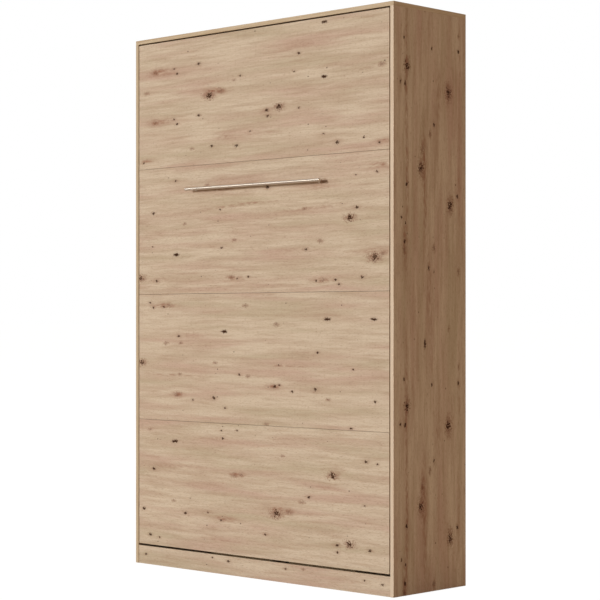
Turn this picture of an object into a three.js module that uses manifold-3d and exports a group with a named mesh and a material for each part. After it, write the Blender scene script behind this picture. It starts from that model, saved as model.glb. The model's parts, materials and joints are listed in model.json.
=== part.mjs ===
// A vertical fold-down wall bed: an oak-board cabinet that stands against a wall, and a steel
// bed frame with slats and a mattress that carries the cabinet's front and folds down with it.
// Millimetres, +Z up. The front faces -Y. The origin is on the floor, under the middle of the
// closed bed's box. Closed is the rest position.

import * as THREE from 'three';
import { mergeVertices } from 'three/addons/utils/BufferGeometryUtils.js';
import Module from 'manifold-3d';

const wasm = await Module();
wasm.setup();

// ---------------------------------------------------------------- driving dimensions

const HEIGHT = 2150;
const WIDTH = 1400;
const CARCASS_DEPTH = 416;
const BOARD = 16;
const FIT_GAP = 0.3; // left between pieces that lie against each other

const HANDLE_PROUD = 38; // the front to the far side of the handle bar
const FRONT_Y = -(CARCASS_DEPTH + HANDLE_PROUD) / 2 + HANDLE_PROUD;
const BACK_Y = FRONT_Y + CARCASS_DEPTH;
const INNER_X = WIDTH / 2 - BOARD;

const PLINTH_HEIGHT = 73.5;
const PLINTH_RECESS = 2;
const FRONT_BOTTOM_Z = 82.3;
const FRONT_TOP_GAP = 5.8;
const FRONT_SIDE_GAP = 4.5;
const FRONT_SEAM = 1;
const FRONT_PANELS = 4;

const HANDLE_LENGTH = 732;
const HANDLE_RADIUS = 6;
const HANDLE_Z = 1521;
const HANDLE_POST_SPACING = 672;
const HANDLE_POST_RADIUS = 4.5;

const BASE_RAIL_BACK = 137; // the front to the base rail
const BASE_RAIL_HEIGHT = 64;
const BASE_RAIL_NOTCH_Z = 30;
const BASE_RAIL_STRETCH = [44, 390]; // the full-height stretches, out from the middle
const REAR_BOTTOM_RAIL_HEIGHT = 180;
const HEADBOARD_TOP_Z = 700;
const REAR_TOP_RAIL_HEIGHT = 150;

const MATTRESS = { width: 1200, length: 2000, thickness: 170, bottomZ: 105, cornerRadius: 45 };
const RAIL = { width: 30, depth: 40, wall: 2, bottomZ: 100, topZ: 2110, innerX: 605 };
const CROSS_RAIL = { height: 30, depth: 30, wall: 2, middleZ: [780, 1430] };
const SLAT = { count: 12, width: 68, thickness: 8, halfLength: 632, firstZ: 165, lastZ: 2045 };
const STRAP = { width: 50, thickness: 2, middleZ: [592, 1618], insideX: 602 };

const PIVOT = { y: FRONT_Y + 65, z: 320, pinRadius: 8, boreRadius: 8.15 };
const CABINET_STUD = { y: PIVOT.y + 90, z: PIVOT.z + 450 };
const BED_STUD = { y: PIVOT.y + 40, z: PIVOT.z - 170 };
const STUD_RADIUS = 5;
const STUD_COLLAR_RADIUS = 8;

const CABINET_PLATE_THICKNESS = 3;
const BED_PLATE_THICKNESS = 4;
const STRUT_X = 660;
const STRUT = {
  eyeRadius: 10,
  eyeThickness: 10,
  eyeBore: 5.3,
  neckRadius: 6,
  neckLength: 28,
  tubeRadius: 11,
  boreRadius: 9.8,
  tubeEnd: 365,
  glandLength: 15,
  glandBore: 5.3,
  rodRadius: 5,
  rodLength: 302,
  pistonRadius: 9.4,
  pistonLength: 12,
};

const LEG = { width: 40, thickness: 3, pivotY: FRONT_Y + 41, pivotZ: 2055, pinRadius: 6, bore: 6.3 };
const LEG_LENGTH = PIVOT.z + LEG.pivotY - PIVOT.y; // pivot to floor with the bed down
const GLIDE = { height: 16, tongueWidth: 15, tongueHeight: 12 };

const ROUND = 40; // sides of a turned pin or bore

// ---------------------------------------------------------------- finishes

function finish(color, roughness, metalness) {
  return new THREE.MeshStandardMaterial({ color, roughness, metalness });
}

const OAK = finish(0xc1a88f, 0.6, 0);
const STEEL = finish(0x3a3c3e, 0.5, 0.6);
const NICKEL = finish(0xd8ccc0, 0.3, 1);
const ZINC = finish(0xb4b7b9, 0.35, 1);
const BIRCH = finish(0xd9bd92, 0.6, 0);
const TICKING = finish(0xeceae4, 0.95, 0);
const WEBBING = finish(0x2b2b2d, 0.9, 0);
const STRUT_BLACK = finish(0x18191a, 0.35, 0.3);
const CHROME = finish(0xe2e4e6, 0.12, 1);
const NYLON = finish(0x202122, 0.5, 0);

// ---------------------------------------------------------------- solids

const X = new THREE.Vector3(1, 0, 0);
const Y = new THREE.Vector3(0, 1, 0);
const Z = new THREE.Vector3(0, 0, 1);
const SECTION_ACROSS_X = new THREE.Matrix4().makeBasis(Y, Z, X);
const SECTION_ACROSS_Y = new THREE.Matrix4().makeBasis(X, Z, Y.clone().negate());

/** Position-only copy of a geometry with shared vertices, as the solid library needs it. */
function welded(geometry) {
  const bare = geometry.clone();
  bare.deleteAttribute('normal');
  bare.deleteAttribute('uv');
  return mergeVertices(bare, 1e-4);
}

function toSolid(geometry) {
  const shell = welded(geometry);
  const vertProperties = new Float32Array(shell.attributes.position.array);
  const triVerts = new Uint32Array(shell.index.array);
  return new wasm.Manifold(new wasm.Mesh({ numProp: 3, vertProperties, triVerts }));
}

function toGeometry(solid) {
  const mesh = solid.getMesh();
  const geometry = new THREE.BufferGeometry();
  geometry.setAttribute('position', new THREE.BufferAttribute(mesh.vertProperties, 3));
  geometry.setIndex(new THREE.BufferAttribute(mesh.triVerts, 1));
  return geometry;
}

function joined(...geometries) {
  return toGeometry(geometries.map(toSolid).reduce((whole, piece) => whole.add(piece)));
}

function cut(geometry, ...tools) {
  return toGeometry(tools.map(toSolid).reduce((whole, tool) => whole.subtract(tool), toSolid(geometry)));
}

/** A box between two corners, given as [low, high] pairs along X, Y and Z. */
function boxGeometry([x0, x1], [y0, y1], [z0, z1]) {
  const geometry = new THREE.BoxGeometry(x1 - x0, y1 - y0, z1 - z0);
  return geometry.translate((x0 + x1) / 2, (y0 + y1) / 2, (z0 + z1) / 2);
}

/** A closed outline through [u, v] points. */
function outline(points) {
  return new THREE.Shape(points.map(([u, v]) => new THREE.Vector2(u, v)));
}

function rectangle(u0, u1, v0, v1) {
  return outline([[u0, v0], [u1, v0], [u1, v1], [u0, v1]]);
}

/** A rectangular tube's section: the outer rectangle with the bore left out. */
function tubeSection(u0, u1, v0, v1, wall) {
  const section = rectangle(u0, u1, v0, v1);
  section.holes.push(rectangle(u0 + wall, u1 - wall, v0 + wall, v1 - wall));
  return section;
}

function roundHole(u, v, radius) {
  const hole = new THREE.Path();
  hole.absarc(u, v, radius, 0, 2 * Math.PI, true);
  return hole;
}

function extruded(section, depth, curveSegments = 12) {
  return new THREE.ExtrudeGeometry(section, { depth, bevelEnabled: false, curveSegments });
}

/** A (y, z) section carried along X from x0 to x1. */
function alongX(section, x0, x1, curveSegments) {
  const geometry = extruded(section, x1 - x0, curveSegments).applyMatrix4(SECTION_ACROSS_X);
  return geometry.translate(x0, 0, 0);
}

/** An (x, z) section carried along Y from y0 to y1. */
function alongY(section, y0, y1, curveSegments) {
  const geometry = extruded(section, y1 - y0, curveSegments).applyMatrix4(SECTION_ACROSS_Y);
  return geometry.translate(0, y1, 0);
}

/** An (x, y) section carried up from z0 to z1. */
function alongZ(section, z0, z1) {
  return extruded(section, z1 - z0).translate(0, 0, z0);
}

/** A solid turned about the Z axis from [radius, z] steps, from the lowest up. */
function turned(steps, segments = ROUND) {
  const profile = steps.map(([radius, z]) => new THREE.Vector2(radius, z));
  return new THREE.LatheGeometry(profile, segments).rotateX(Math.PI / 2);
}

/** A stepped pin turned about Z: cylinders of [radius, z from, z to], end to end, going up. */
function steppedPin(cylinders) {
  const steps = cylinders.flatMap(([radius, from, to]) => [[radius, from], [radius, to]]);
  const last = steps.length - 1;
  return turned([[0, steps[0][1]], ...steps, [0, steps[last][1]]]);
}

/** The same pin lying along X at (y, z): side +1 keeps its sizes as +X, side -1 as -X. */
function sidePin(side, y, z, cylinders) {
  return steppedPin(cylinders).rotateY((side * Math.PI) / 2).translate(0, y, z);
}

function ring(outerRadius, boreRadius, z0, z1) {
  const profile = [[boreRadius, z0], [outerRadius, z0], [outerRadius, z1], [boreRadius, z1], [boreRadius, z0]];
  return turned(profile);
}

/** A (y, z) plate on one side: it fills x from near to far, mirrored for the left side. */
function sidePlate(side, section, near, far) {
  return alongX(section, Math.min(side * near, side * far), Math.max(side * near, side * far), 8);
}

function sideRange(side, near, far) {
  return [Math.min(side * near, side * far), Math.max(side * near, side * far)];
}

const bed = new THREE.Group();

function add(name, geometry, material, parent = bed) {
  const mesh = new THREE.Mesh(geometry, material);
  mesh.name = name;
  parent.add(mesh);
}

const SIDES = [['left', -1], ['right', 1]];

// ---------------------------------------------------------------- cabinet

function cabinetBoards() {
  const across = [-INNER_X, INNER_X];
  const depth = [FRONT_Y, BACK_Y];
  const rear = [BACK_Y - BOARD, BACK_Y];
  const plinthY = FRONT_Y + PLINTH_RECESS;
  const underTop = HEIGHT - BOARD;
  for (const [name, side] of SIDES) {
    const thickness = sideRange(side, INNER_X, WIDTH / 2);
    add(`${name}_side_panel`, boxGeometry(thickness, depth, [0, underTop]), OAK);
  }
  add('top_panel', boxGeometry([-WIDTH / 2, WIDTH / 2], depth, [underTop, HEIGHT]), OAK);
  add('plinth_panel', boxGeometry(across, [plinthY, plinthY + BOARD], [0, PLINTH_HEIGHT]), OAK);
  add('rear_bottom_rail', boxGeometry(across, rear, [0, REAR_BOTTOM_RAIL_HEIGHT]), OAK);
  add('headboard_panel', boxGeometry(across, rear, [REAR_BOTTOM_RAIL_HEIGHT, HEADBOARD_TOP_Z]), OAK);
  add('rear_top_rail', boxGeometry(across, rear, [underTop - REAR_TOP_RAIL_HEIGHT, underTop]), OAK);
}

/** The low rail between the side panels behind the plinth, cut lower in the middle and at both ends. */
function baseRail() {
  const [near, far] = BASE_RAIL_STRETCH;
  const half = [
    [near, BASE_RAIL_NOTCH_Z], [near, BASE_RAIL_HEIGHT], [far, BASE_RAIL_HEIGHT],
    [far, BASE_RAIL_NOTCH_Z], [INNER_X, BASE_RAIL_NOTCH_Z],
  ];
  const mirrored = half.map(([x, z]) => [-x, z]).reverse();
  const section = outline([[-INNER_X, 0], [INNER_X, 0], ...half.reverse(), ...mirrored.reverse()]);
  const y = FRONT_Y + BASE_RAIL_BACK;
  add('base_rail', alongY(section, y, y + BOARD), OAK);
}

/** Steel angles in the back corners, screwed to the side panel and to the wall. */
function wallBrackets() {
  const arm = 40;
  const sheet = 2.5;
  const holeRadius = 3;
  const [low, high] = [1560, 1640];
  for (const [name, side] of SIDES) {
    const corner = side * INNER_X;
    const section = outline([
      [corner, BACK_Y], [corner - side * arm, BACK_Y], [corner - side * arm, BACK_Y - sheet],
      [corner - side * sheet, BACK_Y - sheet], [corner - side * sheet, BACK_Y - arm], [corner, BACK_Y - arm],
    ]);
    const holes = [low + 20, high - 20].flatMap((z) => {
      const tool = steppedPin([[holeRadius, -arm, arm]]);
      const intoWall = tool.clone().rotateX(Math.PI / 2).translate(corner - (side * arm) / 2, BACK_Y, z);
      const intoSide = tool.clone().rotateY(Math.PI / 2).translate(corner, BACK_Y - arm / 2 - 2, z);
      return [intoWall, intoSide];
    });
    add(`wall_bracket_${name}`, cut(alongZ(section, low, high), ...holes), ZINC);
  }
}

// ---------------------------------------------------------------- hinge and strut fixings

/** The outline round two circles: the tangents that touch both, and the arcs outside them. */
function linkOutline(a, radiusA, b, radiusB) {
  const distance = Math.hypot(b.y - a.y, b.z - a.z);
  const heading = Math.atan2(b.z - a.z, b.y - a.y);
  const spread = Math.acos((radiusA - radiusB) / distance);
  const section = new THREE.Shape();
  section.absarc(a.y, a.z, radiusA, heading + spread, heading - spread + 2 * Math.PI, false);
  section.absarc(b.y, b.z, radiusB, heading - spread, heading + spread, false);
  return section;
}

/** On each side panel: a steel plate with the pivot pin and the strut's upper stud. */
function cabinetFixings() {
  const plateX = INNER_X - CABINET_PLATE_THICKNESS;
  const section = linkOutline(PIVOT, 42, CABINET_STUD, 30);
  const bedPlateOuter = RAIL.innerX + RAIL.width + FIT_GAP + BED_PLATE_THICKNESS;
  const pinCollarEnd = bedPlateOuter + 4;
  const eyeNear = STRUT_X - STRUT.eyeThickness / 2 - FIT_GAP;
  const eyeFar = STRUT_X + STRUT.eyeThickness / 2 + FIT_GAP;
  for (const [name, side] of SIDES) {
    add(`cabinet_hinge_plate_${name}`, sidePlate(side, section, plateX, INNER_X), STEEL);
    const pin = [[PIVOT.pinRadius, 633, pinCollarEnd], [12, pinCollarEnd, plateX]];
    add(`pivot_pin_${name}`, sidePin(side, PIVOT.y, PIVOT.z, pin), ZINC);
    const stud = [[7.5, eyeNear - 3, eyeNear], [STUD_RADIUS, eyeNear, eyeFar], [STUD_COLLAR_RADIUS, eyeFar, plateX]];
    add(`cabinet_strut_stud_${name}`, sidePin(side, CABINET_STUD.y, CABINET_STUD.z, stud), ZINC);
  }
}

/** The bed plate's outline: along the side rail, out round the pivot and round the strut's stud. */
function bedPlateOutline() {
  const section = new THREE.Shape();
  section.moveTo(FRONT_Y + 19, BED_STUD.z - 34);
  section.lineTo(BED_STUD.y - 34, BED_STUD.z - 34);
  section.absarc(BED_STUD.y, BED_STUD.z, 18, -Math.PI / 2, 0, false);
  section.absarc(PIVOT.y, PIVOT.z, 26, 0, Math.PI / 3, false);
  section.lineTo(FRONT_Y + 54, PIVOT.z + 120);
  section.lineTo(FRONT_Y + 19, PIVOT.z + 120);
  section.holes.push(roundHole(PIVOT.y, PIVOT.z, 10.3));
  section.holes.push(roundHole(BED_STUD.y, BED_STUD.z, STUD_RADIUS + FIT_GAP));
  return section;
}

/** On each side rail of the bed: a lever plate with the pivot bush and the strut's lower stud. */
function bedFixings() {
  const plateX = RAIL.innerX + RAIL.width + FIT_GAP;
  const plateFar = plateX + BED_PLATE_THICKNESS;
  const studEnd = STRUT_X - STRUT.eyeThickness / 2 - 0.5;
  const section = bedPlateOutline();
  for (const [name, side] of SIDES) {
    add(`bed_hinge_plate_${name}`, sidePlate(side, section, plateX, plateFar), STEEL);
    const sleeve = ring(10, PIVOT.boreRadius, plateX, plateFar + FIT_GAP);
    const flange = ring(14, PIVOT.boreRadius, plateFar + FIT_GAP, plateFar + 3);
    const bush = joined(sleeve, flange).rotateY((side * Math.PI) / 2).translate(0, PIVOT.y, PIVOT.z);
    add(`pivot_bush_${name}`, bush, NYLON);
    const stud = [
      [STUD_COLLAR_RADIUS, plateX - FIT_GAP - 3, plateX - FIT_GAP],
      [STUD_RADIUS, plateX - FIT_GAP, plateFar + FIT_GAP],
      [STUD_COLLAR_RADIUS, plateFar + FIT_GAP, studEnd],
    ];
    add(`bed_strut_stud_${name}`, sidePin(side, BED_STUD.y, BED_STUD.z, stud), ZINC);
  }
}

// ---------------------------------------------------------------- gas struts

/** An eye about X at the origin with a neck that runs up Z to the tube or rod. */
function eyeWithNeck() {
  const eye = ring(STRUT.eyeRadius, STRUT.eyeBore, -STRUT.eyeThickness / 2, STRUT.eyeThickness / 2);
  const neck = steppedPin([[STRUT.neckRadius, STRUT.eyeRadius - 2, STRUT.neckLength]]);
  return joined(eye.rotateY(Math.PI / 2), neck);
}

function strutCylinder() {
  const { tubeRadius, boreRadius, tubeEnd, glandLength, glandBore, neckLength } = STRUT;
  const tube = turned([
    [0, neckLength - 2], [tubeRadius, neckLength - 2], [tubeRadius, tubeEnd], [glandBore, tubeEnd],
    [glandBore, tubeEnd - glandLength], [boreRadius, tubeEnd - glandLength], [boreRadius, neckLength + 10],
    [0, neckLength + 10],
  ]);
  return joined(eyeWithNeck(), tube);
}

function strutRod() {
  const { rodRadius, rodLength, pistonRadius, pistonLength, neckLength } = STRUT;
  const rod = steppedPin([
    [rodRadius, neckLength - 2, rodLength - pistonLength],
    [pistonRadius, rodLength - pistonLength, rodLength],
  ]);
  return joined(eyeWithNeck(), rod);
}

/** Both struts at their closed length, each on the line between its two studs. */
function gasStruts() {
  const lean = Math.atan2(BED_STUD.y - CABINET_STUD.y, CABINET_STUD.z - BED_STUD.z);
  for (const [name, side] of SIDES) {
    const upper = new THREE.Group();
    upper.position.set(side * STRUT_X, CABINET_STUD.y, CABINET_STUD.z);
    upper.rotation.x = Math.PI + lean;
    add(`strut_cylinder_${name}`, strutCylinder(), STRUT_BLACK, upper);
    const lower = new THREE.Group();
    lower.position.set(side * STRUT_X, BED_STUD.y, BED_STUD.z);
    lower.rotation.x = lean;
    add(`strut_rod_${name}`, strutRod(), CHROME, lower);
    bed.add(upper, lower);
  }
}

// ---------------------------------------------------------------- the folding bed

function frontPanels() {
  const halfWidth = INNER_X - FRONT_SIDE_GAP;
  const topZ = HEIGHT - BOARD - FRONT_TOP_GAP;
  const panel = (topZ - FRONT_BOTTOM_Z - (FRONT_PANELS - 1) * FRONT_SEAM) / FRONT_PANELS;
  for (let i = 0; i < FRONT_PANELS; i += 1) {
    const z = FRONT_BOTTOM_Z + i * (panel + FRONT_SEAM);
    const solid = boxGeometry([-halfWidth, halfWidth], [FRONT_Y, FRONT_Y + BOARD], [z, z + panel]);
    add(`front_panel_${i + 1}`, solid, OAK);
  }
}

/** A round bar on two posts; each post's end is hollowed to sit round the bar. */
function handle() {
  const axisY = FRONT_Y - HANDLE_PROUD + HANDLE_RADIUS;
  const bar = steppedPin([[HANDLE_RADIUS, -HANDLE_LENGTH / 2, HANDLE_LENGTH / 2]]);
  add('handle_bar', bar.rotateY(Math.PI / 2).translate(0, axisY, HANDLE_Z), NICKEL);
  for (const [name, side] of SIDES) {
    const x = (side * HANDLE_POST_SPACING) / 2;
    const post = steppedPin([[HANDLE_POST_RADIUS, axisY, FRONT_Y]]).rotateX(-Math.PI / 2);
    const seat = steppedPin([[HANDLE_RADIUS + FIT_GAP, -20, 20]]).rotateY(Math.PI / 2);
    seat.translate(0, axisY, 0);
    add(`handle_post_${name}`, cut(post, seat).translate(x, 0, HANDLE_Z), NICKEL);
  }
}

function bedFrame() {
  const y0 = FRONT_Y + BOARD + FIT_GAP;
  const railY = [y0, y0 + RAIL.depth];
  const innerX = RAIL.innerX;
  for (const [name, side] of SIDES) {
    const [x0, x1] = sideRange(side, innerX, innerX + RAIL.width);
    const rail = alongZ(tubeSection(x0, x1, ...railY, RAIL.wall), RAIL.bottomZ, RAIL.topZ);
    add(`frame_side_rail_${name}`, rail, STEEL);
  }
  const endRail = (z0) => alongX(tubeSection(...railY, z0, z0 + RAIL.width, RAIL.wall), -innerX, innerX);
  add('frame_head_rail', endRail(RAIL.bottomZ), STEEL);
  add('frame_foot_rail', endRail(RAIL.topZ - RAIL.width), STEEL);
  CROSS_RAIL.middleZ.forEach((z, i) => {
    const low = z - CROSS_RAIL.height / 2;
    const section = tubeSection(y0, y0 + CROSS_RAIL.depth, low, low + CROSS_RAIL.height, CROSS_RAIL.wall);
    add(`frame_cross_rail_${i + 1}`, alongX(section, -innerX, innerX), STEEL);
  });
}

const SLAT_Y = FRONT_Y + BOARD + RAIL.depth + 2 * FIT_GAP;
const MATTRESS_Y = SLAT_Y + SLAT.thickness + 2;

function slats() {
  const pitch = (SLAT.lastZ - SLAT.firstZ) / (SLAT.count - 1);
  for (let i = 0; i < SLAT.count; i += 1) {
    const z = SLAT.firstZ + i * pitch;
    const across = [-SLAT.halfLength, SLAT.halfLength];
    const height = [z - SLAT.width / 2, z + SLAT.width / 2];
    add(`slat_${String(i + 1).padStart(2, '0')}`, boxGeometry(across, [SLAT_Y, SLAT_Y + SLAT.thickness], height), BIRCH);
  }
}

function mattress() {
  const { width, length, thickness, bottomZ, cornerRadius: r } = MATTRESS;
  const [x, low, high] = [width / 2, bottomZ, bottomZ + length];
  const section = new THREE.Shape();
  section.absarc(x - r, low + r, r, -Math.PI / 2, 0, false);
  section.absarc(x - r, high - r, r, 0, Math.PI / 2, false);
  section.absarc(-x + r, high - r, r, Math.PI / 2, Math.PI, false);
  section.absarc(-x + r, low + r, r, Math.PI, 1.5 * Math.PI, false);
  add('mattress', alongY(section, MATTRESS_Y, MATTRESS_Y + thickness, 6), TICKING);
}

/** Two webbing straps over the mattress, fixed to the inner faces of the side rails. */
function straps() {
  const inner = STRAP.insideX;
  const outer = inner + STRAP.thickness;
  const under = MATTRESS_Y + MATTRESS.thickness + 1;
  const over = under + STRAP.thickness;
  const end = FRONT_Y + BOARD + RAIL.depth / 2;
  const section = outline([
    [-outer, end], [-inner, end], [-inner, under], [inner, under],
    [inner, end], [outer, end], [outer, over], [-outer, over],
  ]);
  STRAP.middleZ.forEach((z, i) => {
    add(`mattress_strap_${i + 1}`, alongZ(section, z - STRAP.width / 2, z + STRAP.width / 2), WEBBING);
  });
}

// ---------------------------------------------------------------- legs

/** The flat steel leg hangs from its pivot; its lower end is notched for the nylon glide. */
function legOutline() {
  const { width, pivotY: y, pivotZ: z, bore } = LEG;
  const half = width / 2;
  const low = z - LEG_LENGTH + GLIDE.height;
  const notch = GLIDE.tongueWidth / 2 + FIT_GAP;
  const section = new THREE.Shape();
  section.absarc(y, z, half, 0, Math.PI, false);
  section.lineTo(y - half, low);
  section.lineTo(y - notch, low);
  section.lineTo(y - notch, low + GLIDE.tongueHeight);
  section.lineTo(y + notch, low + GLIDE.tongueHeight);
  section.lineTo(y + notch, low);
  section.lineTo(y + half, low);
  section.holes.push(roundHole(y, z, bore));
  return section;
}

function glideOutline() {
  const y = LEG.pivotY;
  const half = LEG.width / 2;
  const tongue = GLIDE.tongueWidth / 2;
  const low = LEG.pivotZ - LEG_LENGTH;
  const shoulder = low + GLIDE.height - FIT_GAP;
  const top = shoulder + GLIDE.tongueHeight;
  const round = 5;
  const section = new THREE.Shape();
  section.absarc(y + half - round, low + round, round, -Math.PI / 2, 0, false);
  section.lineTo(y + half, shoulder);
  section.lineTo(y + tongue, shoulder);
  section.lineTo(y + tongue, top);
  section.lineTo(y - tongue, top);
  section.lineTo(y - tongue, shoulder);
  section.lineTo(y - half, shoulder);
  section.absarc(y - half + round, low + round, round, Math.PI, 1.5 * Math.PI, false);
  return section;
}

/** One leg on each side of the bed's foot end, in the gap beside the front. */
function legs() {
  const middle = INNER_X - FRONT_SIDE_GAP / 2;
  const near = middle - LEG.thickness / 2;
  const far = middle + LEG.thickness / 2;
  const railX = RAIL.innerX + RAIL.width + FIT_GAP;
  for (const [name, side] of SIDES) {
    add(`leg_${name}`, sidePlate(side, legOutline(), near, far), STEEL);
    add(`leg_glide_${name}`, sidePlate(side, glideOutline(), near, far), NYLON);
    const pivot = [[15, railX, railX + 4], [9, railX + 4, near - FIT_GAP], [LEG.pinRadius, near - FIT_GAP, far]];
    add(`leg_pivot_${name}`, sidePin(side, LEG.pivotY, LEG.pivotZ, pivot), ZINC);
  }
}

cabinetBoards();
baseRail();
wallBrackets();
cabinetFixings();
frontPanels();
handle();
bedFrame();
slats();
mattress();
straps();
bedFixings();
gasStruts();
legs();

export default bed;
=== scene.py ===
"""Looks for an upright fold-down wall bed in knotty oak boards.

Sizes are in metres in the shared frame: +Z up, the front faces -Y, the wall is at +Y. Each
sub-assembly is a class that builds its pieces from the frame's boxes and joints, and each
finish is a small class that builds one procedural material.
"""

from __future__ import annotations

import json
import logging
import math
from dataclasses import dataclass
from enum import Enum

import bmesh
import bpy
import numpy as np
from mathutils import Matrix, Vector


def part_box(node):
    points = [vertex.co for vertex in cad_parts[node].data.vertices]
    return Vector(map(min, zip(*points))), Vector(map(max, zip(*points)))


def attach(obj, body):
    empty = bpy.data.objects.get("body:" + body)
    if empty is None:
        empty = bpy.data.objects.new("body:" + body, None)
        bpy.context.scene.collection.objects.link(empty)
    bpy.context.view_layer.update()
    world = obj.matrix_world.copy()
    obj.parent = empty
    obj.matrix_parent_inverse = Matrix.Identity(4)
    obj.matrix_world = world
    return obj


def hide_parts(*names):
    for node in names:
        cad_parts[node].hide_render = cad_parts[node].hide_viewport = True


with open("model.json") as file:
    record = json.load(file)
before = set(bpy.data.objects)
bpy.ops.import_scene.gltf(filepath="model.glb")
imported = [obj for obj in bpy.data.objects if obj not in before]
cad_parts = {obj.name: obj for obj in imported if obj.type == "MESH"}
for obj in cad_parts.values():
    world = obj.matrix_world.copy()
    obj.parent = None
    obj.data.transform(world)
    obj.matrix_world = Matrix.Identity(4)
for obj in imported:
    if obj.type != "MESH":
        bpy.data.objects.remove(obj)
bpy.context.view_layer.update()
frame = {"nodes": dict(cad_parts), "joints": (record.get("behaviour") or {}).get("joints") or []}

LOG = logging.getLogger("wall_bed")
MM = 0.001
SIDES = (("left", -1), ("right", 1))


# ---------------------------------------------------------------- nodes and colours


def linear(hex_colour: str) -> tuple[float, float, float, float]:
    """Turns an sRGB hex colour into the linear RGBA that a shader socket holds.

    Args:
        hex_colour: Six hex digits, with or without a leading #.

    Returns:
        Linear red, green, blue and an alpha of 1.
    """
    digits = hex_colour.lstrip("#")
    srgb = np.array([int(digits[i : i + 2], 16) / 255 for i in (0, 2, 4)])
    low, high = srgb / 12.92, ((srgb + 0.055) / 1.055) ** 2.4
    red, green, blue = np.where(srgb <= 0.04045, low, high)
    return (float(red), float(green), float(blue), 1.0)


def add_node(tree: bpy.types.NodeTree, kind: str, inputs: dict | None = None, **settings) -> bpy.types.Node:
    """Adds one shader node with its settings, values and links.

    Args:
        tree: The material's node tree.
        kind: The node's type name.
        inputs: Input name or number to a value, an output socket, or a node whose first output is used.
        **settings: Properties of the node itself.

    Returns:
        The new node.
    """
    node = tree.nodes.new(kind)
    for name, value in settings.items():
        setattr(node, name, value)
    for name, value in (inputs or {}).items():
        if isinstance(value, bpy.types.Node):
            value = value.outputs[0]
        if isinstance(value, bpy.types.NodeSocket):
            tree.links.new(value, node.inputs[name])
        else:
            node.inputs[name].default_value = value
    return node


def new_material(name: str, **sockets) -> tuple[bpy.types.Material, bpy.types.NodeTree, bpy.types.Node]:
    """Makes a material with one Principled shader.

    Args:
        name: The finish's name.
        **sockets: Shader socket names, with _ for a space, and their constant values.

    Returns:
        The material, its node tree and its shader.
    """
    material = bpy.data.materials.new(name)
    material.use_nodes = True
    tree = material.node_tree
    shader = next(n for n in tree.nodes if n.type == "BSDF_PRINCIPLED")
    for socket, value in sockets.items():
        shader.inputs[socket.replace("_", " ")].default_value = value
    return material, tree, shader


# ---------------------------------------------------------------- finishes


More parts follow.
